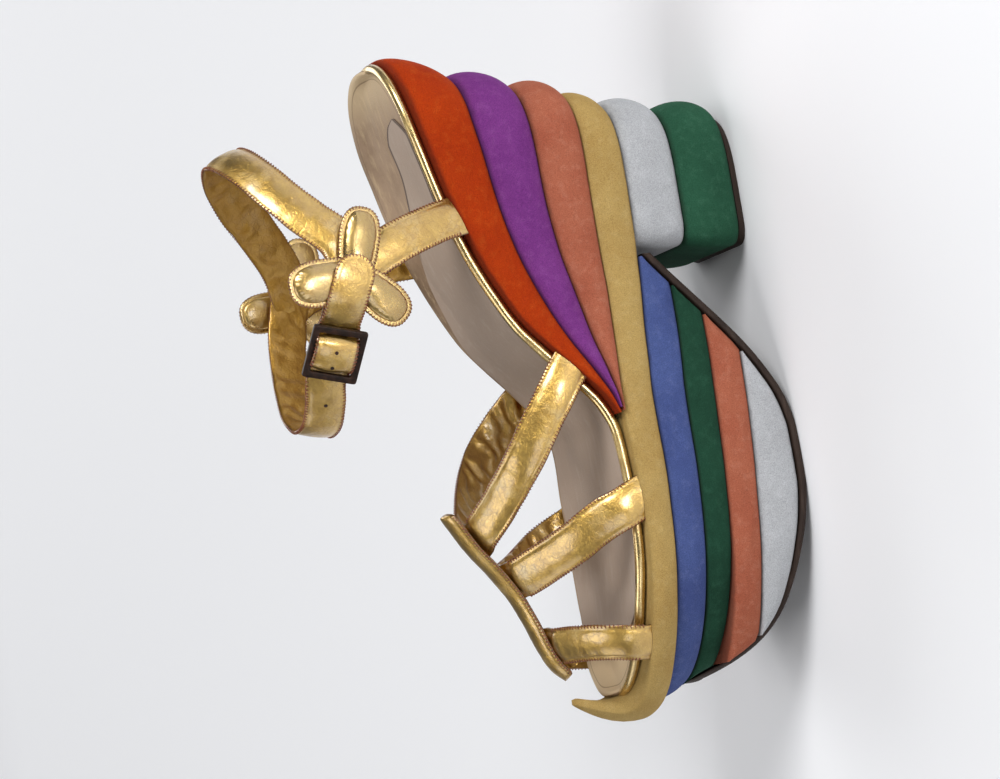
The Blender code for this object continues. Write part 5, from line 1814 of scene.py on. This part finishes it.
@dataclass
class Vamp:
    """The centre strip over the foot's ridge and the three pairs of side straps."""

    thick: float = 2.0
    widths: dict[str, float] = field(default_factory=lambda: {"rear": 13.2, "middle": 14.0, "front": 12.6})
    strip_width: float = 13.0
    strip_crown: float = 1.4
    strip: tuple = ((157.5, -1.0, 112.2), (163.0, -1.0, 109.2), (169.5, -1.0, 105.4), (178.0, -1.0, 99.2),
                    (188.0, -1.0, 92.8), (198.0, -1.2, 88.4), (206.0, -1.5, 85.4), (212.5, -1.8, 82.0),
                    (216.5, -2.0, 77.8))
    sides: dict[str, tuple] = field(default_factory=lambda: {
        "rear_outer": ((115.6, 34.2, 72.4), (122.6, 34.4, 77.6), (133.4, 31.6, 84.8), (145.0, 26.2, 91.4),
                       (156.6, 16.8, 97.8), (165.6, 6.6, 103.2), (168.8, 1.0, 104.7)),
        "rear_inner": ((120.0, -25.4, 68.6), (126.0, -27.0, 75.4), (135.0, -26.6, 84.2), (145.6, -23.0, 92.4),
                       (156.6, -15.4, 99.0), (165.6, -6.8, 103.4), (168.8, -1.0, 104.7)),
        "middle_outer": ((163.0, 39.6, 58.4), (165.2, 39.2, 63.4), (169.0, 35.0, 71.9), (174.0, 28.5, 79.2),
                         (178.4, 18.0, 86.0), (182.2, 7.0, 92.4), (183.4, 1.0, 94.6)),
        "middle_inner": ((165.5, -27.6, 58.4), (167.6, -28.0, 63.0), (171.2, -26.2, 70.6), (175.4, -22.0, 77.6),
                         (179.2, -15.2, 84.6), (182.4, -7.0, 91.8), (183.4, -1.0, 94.6)),
        "front_outer": ((209.6, 30.0, 60.0), (209.0, 29.8, 66.0), (208.0, 27.2, 71.0), (206.8, 20.0, 76.8),
                        (206.2, 11.0, 81.0), (206.0, 5.0, 83.4), (206.0, 1.0, 84.5)),
        "front_inner": ((208.6, -22.2, 60.0), (208.2, -22.8, 66.0), (207.6, -21.8, 71.0), (206.8, -17.4, 76.8),
                        (206.2, -11.0, 81.0), (206.0, -5.8, 83.4), (206.0, -1.0, 84.5)),
    })

    def straps(self) -> list[Strap]:
        """The centre strip and the side straps."""
        made = [Strap(self.strip, Facing.VAMP, self.strip_width, self.thick, 101, crown=self.strip_crown,
                      bare=(2.0, 2.0), inner_relief=0.16, blunt=4.5, outer_relief=0.03)]
        for seed, (name, rows) in enumerate(self.sides.items()):
            made.append(Strap(rows, Facing.VAMP, self.widths[name.split("_")[0]], self.thick, 120 + 10 * seed,
                              footed=True, bare=(2.5, 6.5), tuck=1.8, fold_pitch=6.5, inner_relief=0.48, lining_dull_and_shade=0.2))
        return made

    def build(self, form: SoleForm, buckle: BuckleForm, thread: Thread, finishes: Finishes,
              origin: Array) -> None:
        """Make and dress the straps and their stitches."""
        straps = self.straps()
        Piece("vamp_straps", [s.surface(form, buckle) for s in straps], finishes.strap, "gold_leather",
              ("vamp_straps",)).build(origin)
        stitched = [group for s in straps for group in s.stitches(form, buckle, thread)]
        Piece("vamp_stitches", thread.surfaces(stitched), finishes.thread).build(origin)


@dataclass
class AnkleStraps:
    """The back loop, the quarter straps, the front strap with its free end, and the buckle's chape."""

    width: float = 13.2
    loop_width: float = 14.4
    quarter_width: float = 13.8
    thick: float = 1.8
    back_loop: tuple = ((80.0, 33.4, 141.0), (66.4, 33.0, 144.5), (58.0, 29.6, 152.0), (49.0, 24.6, 159.0),
                        (39.4, 16.8, 164.8), (33.6, 8.8, 168.2), (31.4, 0.0, 169.4), (35.0, -8.8, 167.6),
                        (44.0, -17.8, 161.8), (55.0, -25.0, 152.8), (66.0, -30.4, 145.6), (80.0, -32.6, 142.0))
    quarter_outer: tuple = ((62.6, 29.5, 101.6), (63.6, 30.6, 107.0), (66.0, 32.4, 115.5), (69.5, 33.6, 125.5),
                            (74.0, 33.6, 135.0), (78.0, 33.4, 142.0))
    quarter_inner: tuple = ((68.0, -29.3, 99.6), (68.2, -30.6, 106.0), (68.8, -32.2, 115.0), (70.5, -33.4, 125.5),
                            (74.0, -33.2, 135.0), (78.0, -32.6, 142.5))
    front: tuple = ((72.0, -32.0, 142.6), (80.0, -32.4, 144.6), (90.0, -31.0, 147.2), (100.0, -26.4, 149.2),
                    (111.0, -18.0, 151.6), (120.2, -9.0, 153.2), (125.0, 0.0, 153.0), (123.6, 8.0, 152.2),
                    (117.4, 16.0, 152.2))
    free_end: tuple = ((87.6, 39.3, 146.8), (82.0, 41.2, 144.8), (77.5, 41.7, 142.8), (73.0, 41.8, 140.8))
    chape: tuple = ((72.0, 33.6, 141.0), (80.0, 33.2, 143.6), (88.0, 31.0, 146.0))
    holes: tuple = (-1.5, 4.0, 22.0)
    hole_radius: float = 0.62
    hole_rows: tuple = ((1.0, -0.3), (1.0, 0.02), (0.8, 0.05), (0.55, -0.02), (0.2, -0.05))
    hole_sides: int = 20
    hole_lift: float = 0.08
    over_bar: float = 2.5

    def straps(self, buckle: BuckleForm) -> dict[str, Strap]:
        """The five straps by name."""
        centre, along, _, out = buckle.axes()
        end = centre - out * (buckle.bar + GAP + self.thick / 2)
        chape = (*self.chape, tuple(end - along * 6.0 - out * 2.6), tuple(end))
        front = (*self.front, *buckle.threaded(self.thick), *self.free_end)
        return {
            "loop": Strap(self.back_loop, Facing.ANKLE, self.loop_width, self.thick, 201, fold_pitch=9.0,
                          inner_relief=0.2),
            "quarter_outer": Strap(self.quarter_outer, Facing.ANKLE, self.quarter_width, self.thick, 211, footed=True,
                                   bare=(2.5, 4.0)),
            "quarter_inner": Strap(self.quarter_inner, Facing.ANKLE, self.quarter_width, self.thick, 221, footed=True,
                                   bare=(2.5, 4.0)),
            "front": Strap(front, Facing.BUCKLED, self.width, self.thick, 231, round_tip=True, bare=(2.0, 6.6),
                           puff=0.4, fold_pitch=8.0, inner_relief=0.2),
            "chape": Strap(chape, Facing.BUCKLED, self.width - 0.6, self.thick, 241, bare=(2.0, 2.0),
                           inner_relief=0.1),
        }

    def punched(self, strap: Strap, form: SoleForm, buckle: BuckleForm) -> list[Surface]:
        """Holes of the buckle's strap, each a shallow dish on the strap's face, dark as painted shade inside the hole.
        """
        points, along, out, across, reach, _ = strap.frames(form, buckle)
        centre, _, _, outwards = buckle.axes()
        middle = reach[np.argmin(np.linalg.norm(points - centre - outwards * self.over_bar, axis=1))]
        turn = around(self.hole_sides)[:, None]
        made = []
        for offset in self.holes:
            k = int(np.argmin(np.abs(reach - middle + offset)))
            base = points[k] + out[k] * (strap.FACE * strap.thick + strap.puff + self.hole_lift)
            circle = self.hole_radius * (np.cos(turn) * along[k] + np.sin(turn) * across[k])
            dish = np.array([base + share * circle + out[k] * rise for share, rise in self.hole_rows])
            made.append(Surface(dish, 0.0, Cap.FAN, Cap.FAN))
        return made

    def build(self, form: SoleForm, buckle: BuckleForm, thread: Thread, finishes: Finishes,
              origin: Array) -> None:
        """Make and dress the straps, their stitches and the holes."""
        straps = self.straps(buckle)
        Piece("ankle_straps", [s.surface(form, buckle) for s in straps.values()], finishes.strap, "gold_leather",
              ("ankle_straps",)).build(origin)
        stitched = [group for s in straps.values() for group in s.stitches(form, buckle, thread)]
        Piece("ankle_stitches", thread.surfaces(stitched), finishes.thread).build(origin)
        Piece("strap_holes", self.punched(straps["front"], form, buckle), finishes.hole_shade).build(origin)


@dataclass(frozen=True)
class Petal:
    """One padded petal: turn from the toe direction upwards, reach, half width, and place in the pile."""

    turn: float
    reach: float
    half: float
    pile: float


@dataclass
class Ornament:
    """Three padded petals over an ankle joint, each with an overcast rim."""

    name: str
    centre: tuple
    side: float
    upright: Petal
    petals: tuple = (Petal(196.0, 23.0, 7.6, -0.35), Petal(-44.0, 22.0, 7.8, -0.35))
    flange: float = 1.5
    rim_thick: float = 0.5
    puff: float = 3.3
    back: float = 1.6
    root: float = 1.6
    squareness: float = 2.5
    taper: float = 0.10
    seam_share: float = 0.8
    pucker: float = 0.09
    pucker_count: float = 26.0
    pucker_place: float = 0.72
    pucker_width: float = 0.07
    pucker_back: float = 0.3
    uneven: float = 0.10
    waves: Pair = (7.0, 18.0)
    dark_edge: Pair = (0.86, 1.02)
    columns: int = 96
    pad_rows: int = 24
    flange_rows: int = 6
    seed: int = 300

    def axes(self, petal: Petal) -> tuple[Array, Array, Array]:
        """Directions along the petal, across it and outwards."""
        c = math.cos(math.radians(petal.turn))
        s = math.sin(math.radians(petal.turn))
        return np.array((c, 0.0, s)), np.array((-s, 0.0, c)), np.array((0.0, self.side, 0.0))

    def rim_line(self, petal: Petal, turn: Array, inset: float = 0.0) -> tuple[Array, Array]:
        """The petal's outline: a squared oval, wider towards its free end, drawn in by an inset."""
        u, v = squared_circle(turn, self.squareness)
        return (petal.reach / 2 - self.root + u * (petal.reach / 2 + self.root - inset),
                v * (petal.half * (1.0 - self.taper + self.taper * u) - inset))

    def surface(self, petal: Petal, seed: int) -> Surface:
        """The pillow: its seam drawn in to a point over the padded face and the flatter back, and a flat flange.

        The face's height is the flange's plus the puff times (1 - r^2)^0.5 of the share r of the way to the seam,
        puckered beside the stitches; the back is the same, less puffed.
        """
        along, across, out = self.axes(petal)
        turn = around(self.columns)
        rim = np.column_stack(self.rim_line(petal, turn))
        seam = np.column_stack(self.rim_line(petal, turn, self.flange))
        middle = np.array((petal.reach / 2 - self.root, 0.0))
        pad = np.sin(np.linspace(0.03, 0.5 * math.pi, self.pad_rows))
        flange = np.linspace(0.0, 1.0, self.flange_rows + 1)[1:]
        spots = np.vstack((middle + pad[:, None, None] * (seam - middle), seam + flange[:, None, None] * (rim - seam)))
        uu, vv = spots[..., 0], spots[..., 1]
        dome = np.concatenate((np.sqrt(np.clip(1.0 - pad ** 2, 0.0, 1.0)), np.zeros(len(flange))))
        lip = np.concatenate((np.ones(len(pad)), np.sqrt(1.0 - flange ** 6)))
        radii = np.concatenate((self.seam_share * pad, between(self.seam_share, 1.0, flange)))
        beside = np.exp(-((radii[:, None] - self.pucker_place) / self.pucker_width) ** 2)
        pucker = self.pucker * np.sin(turn * self.pucker_count + seed)[None, :] * beside
        face = (self.rim_thick * lip + (self.puff - self.rim_thick) * dome)[:, None] + pucker
        face = face + self.uneven * dome[:, None] * ripple(uu, vv, seed, *self.waves)
        under = -(self.rim_thick * lip + (self.back - self.rim_thick) * dome)[:, None] - self.pucker_back * pucker
        uu = np.vstack((uu, uu[::-1]))
        vv = np.vstack((vv, vv[::-1]))
        ww = np.vstack((face, under[::-1])) + petal.pile
        points = (np.array(self.centre) + uu[..., None] * along + vv[..., None] * across + ww[..., None] * out)
        edge = ease(*self.dark_edge, np.concatenate((radii, radii[::-1])))
        return Surface(points, edge[:, None], Cap.FAN, Cap.FAN)

    def stitches(self, petal: Petal, thread: Thread) -> Array:
        """Overcast stitches round the rim."""
        along, across, out = self.axes(petal)
        u, v = self.rim_line(petal, np.linspace(0.0, 2.0 * math.pi, 400))
        rim = np.column_stack((u, v, np.zeros_like(u)))
        way = even_path(rim, round(float(lengths(rim)[-1]) / thread.pitch) + 1)[:-1]
        tangent = unit(np.roll(way, -1, axis=0) - np.roll(way, 1, axis=0))
        base = np.array(self.centre) + way[:, 0:1] * along + way[:, 1:2] * across + petal.pile * out
        outward = tangent[:, 1:2] * along - tangent[:, 0:1] * across
        forward = tangent[:, 0:1] * along + tangent[:, 1:2] * across
        return thread.over_edge(base, outward, np.broadcast_to(out, base.shape), forward, self.rim_thick)

    def build(self, thread: Thread, finishes: Finishes, origin: Array) -> None:
        """Make and dress the petals and their stitches."""
        petals = (*self.petals, self.upright)
        made = Piece(self.name, [self.surface(petal, seed) for seed, petal in enumerate(petals, self.seed)],
                     finishes.petal, "petal_leather", (self.name,)).build(origin)
        Piece(self.name + "_stitches", thread.surfaces([self.stitches(p, thread) for p in petals]),
              finishes.thread).build(origin)


def placing(side: Array, up: Array, back: Array, place: Array) -> Matrix:
    """World matrix of an object with these axes at this place."""
    matrix = np.eye(4)
    matrix[:3] = np.column_stack((side, up, back, place))
    return Matrix(matrix.tolist())


@dataclass(frozen=True)
class Lamp:
    """A large soft light: direction from the shoe, distance, size and power."""

    name: str
    towards: tuple[float, float, float]
    distance: float
    size: float
    power: float


@dataclass
class Studio:
    """Pale cove, soft lights, and the camera at the photograph's angle."""

    elevation: float = 20.0
    azimuth: float = 5.0
    tilt: float = 7.5
    distance: float = 1500.0
    target: tuple = (115.0, 0.0, 75.0)
    pixels_per_mm: float = 2.30
    zoom: float = 1.30
    picture_width: float = 1000.0
    aim: Pair = (-22.5, 11.0)
    sensor: float = 36.0
    lamps: tuple = (Lamp("key", (-0.66, 0.62, 0.62), 2.2, 1.1, 33.0),
                    Lamp("front", (-0.10, 0.99, 0.04), 1.1, 0.24, 2.7),
                    Lamp("fill", (0.60, 0.95, 0.30), 2.6, 1.2, 7.0),
                    Lamp("back", (-0.38, -0.85, 0.55), 2.4, 1.7, 19.0),
                    Lamp("top", (0.30, 0.10, 0.95), 2.4, 1.6, 16.0),
                    Lamp("toe", (1.0, -0.15, 0.50), 2.4, 1.5, 6.5))
    lamp_side: tuple = (0.31, 0.17, 0.94)
    sky: Colour = (0.90, 0.92, 0.96)
    sky_strength: float = 0.13
    floor_hub: float = 0.02
    floor_radius: float = 2.6
    floor_drop: float = 0.00005
    floor_rows: int = 24
    bend_radius: float = 1.2
    bend_rows: int = 14
    wall_top: float = 2.2
    cove_columns: int = 96

    def cove(self, paper: bpy.types.Material) -> None:
        """A wide floor that turns up into a wall all round: a quarter circle between a disc and an upright."""
        bend = np.linspace(0.0, math.pi / 2, self.bend_rows)[1:]
        wall = self.floor_radius + self.bend_radius
        radius = np.concatenate((np.linspace(self.floor_hub, self.floor_radius, self.floor_rows),
                                 self.floor_radius + self.bend_radius * np.sin(bend), [wall]))
        height = np.concatenate((np.zeros(self.floor_rows), self.bend_radius * (1.0 - np.cos(bend)), [self.wall_top]))
        turn = around(self.cove_columns)
        points = np.stack((radius[:, None] * np.cos(turn), radius[:, None] * np.sin(turn),
                           height[:, None] + 0.0 * turn - self.floor_drop), axis=-1)
        index = np.arange(len(radius) * self.cove_columns).reshape(-1, self.cove_columns)
        hub = tuple(index[0].tolist())
        index = np.hstack((index, index[:, :1]))
        quads = np.stack((index[:-1, :-1], index[1:, :-1], index[1:, 1:], index[:-1, 1:]), axis=-1).reshape(-1, 4)
        mesh = bpy.data.meshes.new("studio_floor")
        mesh.from_pydata(points.reshape(-1, 3).tolist(), [], quads.tolist() + [hub])
        mesh.polygons.foreach_set("use_smooth", np.ones(len(mesh.polygons), dtype=bool))
        mesh.materials.append(paper)
        floor = put_in_scene("studio_floor", mesh)

    def light(self, origin: Array) -> None:
        """Place the lamps round the shoe and give the sky a pale tone."""
        middle = (np.array(self.target) - origin) * MM
        for lamp in self.lamps:
            towards = unit(np.array(lamp.towards))
            side = unit(np.cross(np.array(self.lamp_side), towards))
            data = bpy.data.lights.new(lamp.name, "AREA")
            data.shape = "DISK"
            data.size = lamp.size
            data.energy = lamp.power
            obj = put_in_scene(lamp.name, data)
            obj.matrix_world = placing(side, np.cross(towards, side), towards, middle + towards * lamp.distance)
        world = bpy.data.worlds.new("studio_sky")
        world.use_nodes = True
        sky = world.node_tree.nodes["Background"]
        sky.inputs["Color"].default_value = opaque(self.sky)
        sky.inputs["Strength"].default_value = self.sky_strength
        bpy.context.scene.world = world

    def camera(self, origin: Array) -> None:
        """The camera: seen from the outer side a little above, rolled so that the toe points down the picture."""
        e, a, t = (math.radians(v) for v in (self.elevation, self.azimuth, self.tilt))
        view = np.array((math.cos(e) * math.sin(a), math.cos(e) * math.cos(a), math.sin(e)))
        toe = np.array((math.cos(a), -math.sin(a), 0.0))
        up = np.cross(view, -toe)
        up = up if up[2] > 0 else -up
        place = (np.array(self.target) - origin + view * self.distance) * MM
        data = bpy.data.cameras.new("camera")
        data.sensor_width = self.sensor
        data.lens = self.pixels_per_mm * self.distance * self.zoom / self.picture_width * self.sensor
        data.shift_x = self.aim[0] * self.zoom / self.picture_width
        data.shift_y = -self.aim[1] * self.zoom / self.picture_width
        data.clip_start = 0.05
        obj = put_in_scene("camera", data)
        obj.matrix_world = placing(math.sin(t) * toe - math.cos(t) * up, -math.cos(t) * toe - math.sin(t) * up, view,
                                   place)
        bpy.context.scene.camera = obj

    def build(self, origin: Array) -> None:
        """Set up the floor, the lights, the camera and the picture's tone."""
        self.cove(Paper().material())
        self.light(origin)
        self.camera(origin)
        bpy.context.scene.view_settings.view_transform = "Standard"


def main() -> None:
    """Build the sandal's pieces in order and set up the studio."""
    logging.basicConfig(level=logging.INFO, format="%(message)s")
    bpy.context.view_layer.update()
    origin = maker_origin()
    finishes = Finishes()
    form = SoleForm()
    buckle = BuckleForm()
    thread = Thread()
    Studio().build(origin)
    HeelBlock().build(form, finishes, origin)
    Platform().build(form, finishes, origin)
    SeatStack().build(form, finishes, origin)
    Footbed().build(form, finishes, origin)
    Vamp().build(form, buckle, thread, finishes, origin)
    AnkleStraps().build(form, buckle, thread, finishes, origin)
    Ornament("ornament_lateral", ORNAMENT_LATERAL, 1.0, Petal(85.0, 23.0, 8.4, 0.35)).build(thread, finishes, origin)
    Ornament("ornament_medial", ORNAMENT_MEDIAL, -1.0, Petal(83.0, 19.6, 7.4, 0.35)).build(thread, finishes, origin)
    buckle.build(finishes, origin)


if __name__ == "__main__":
    main()
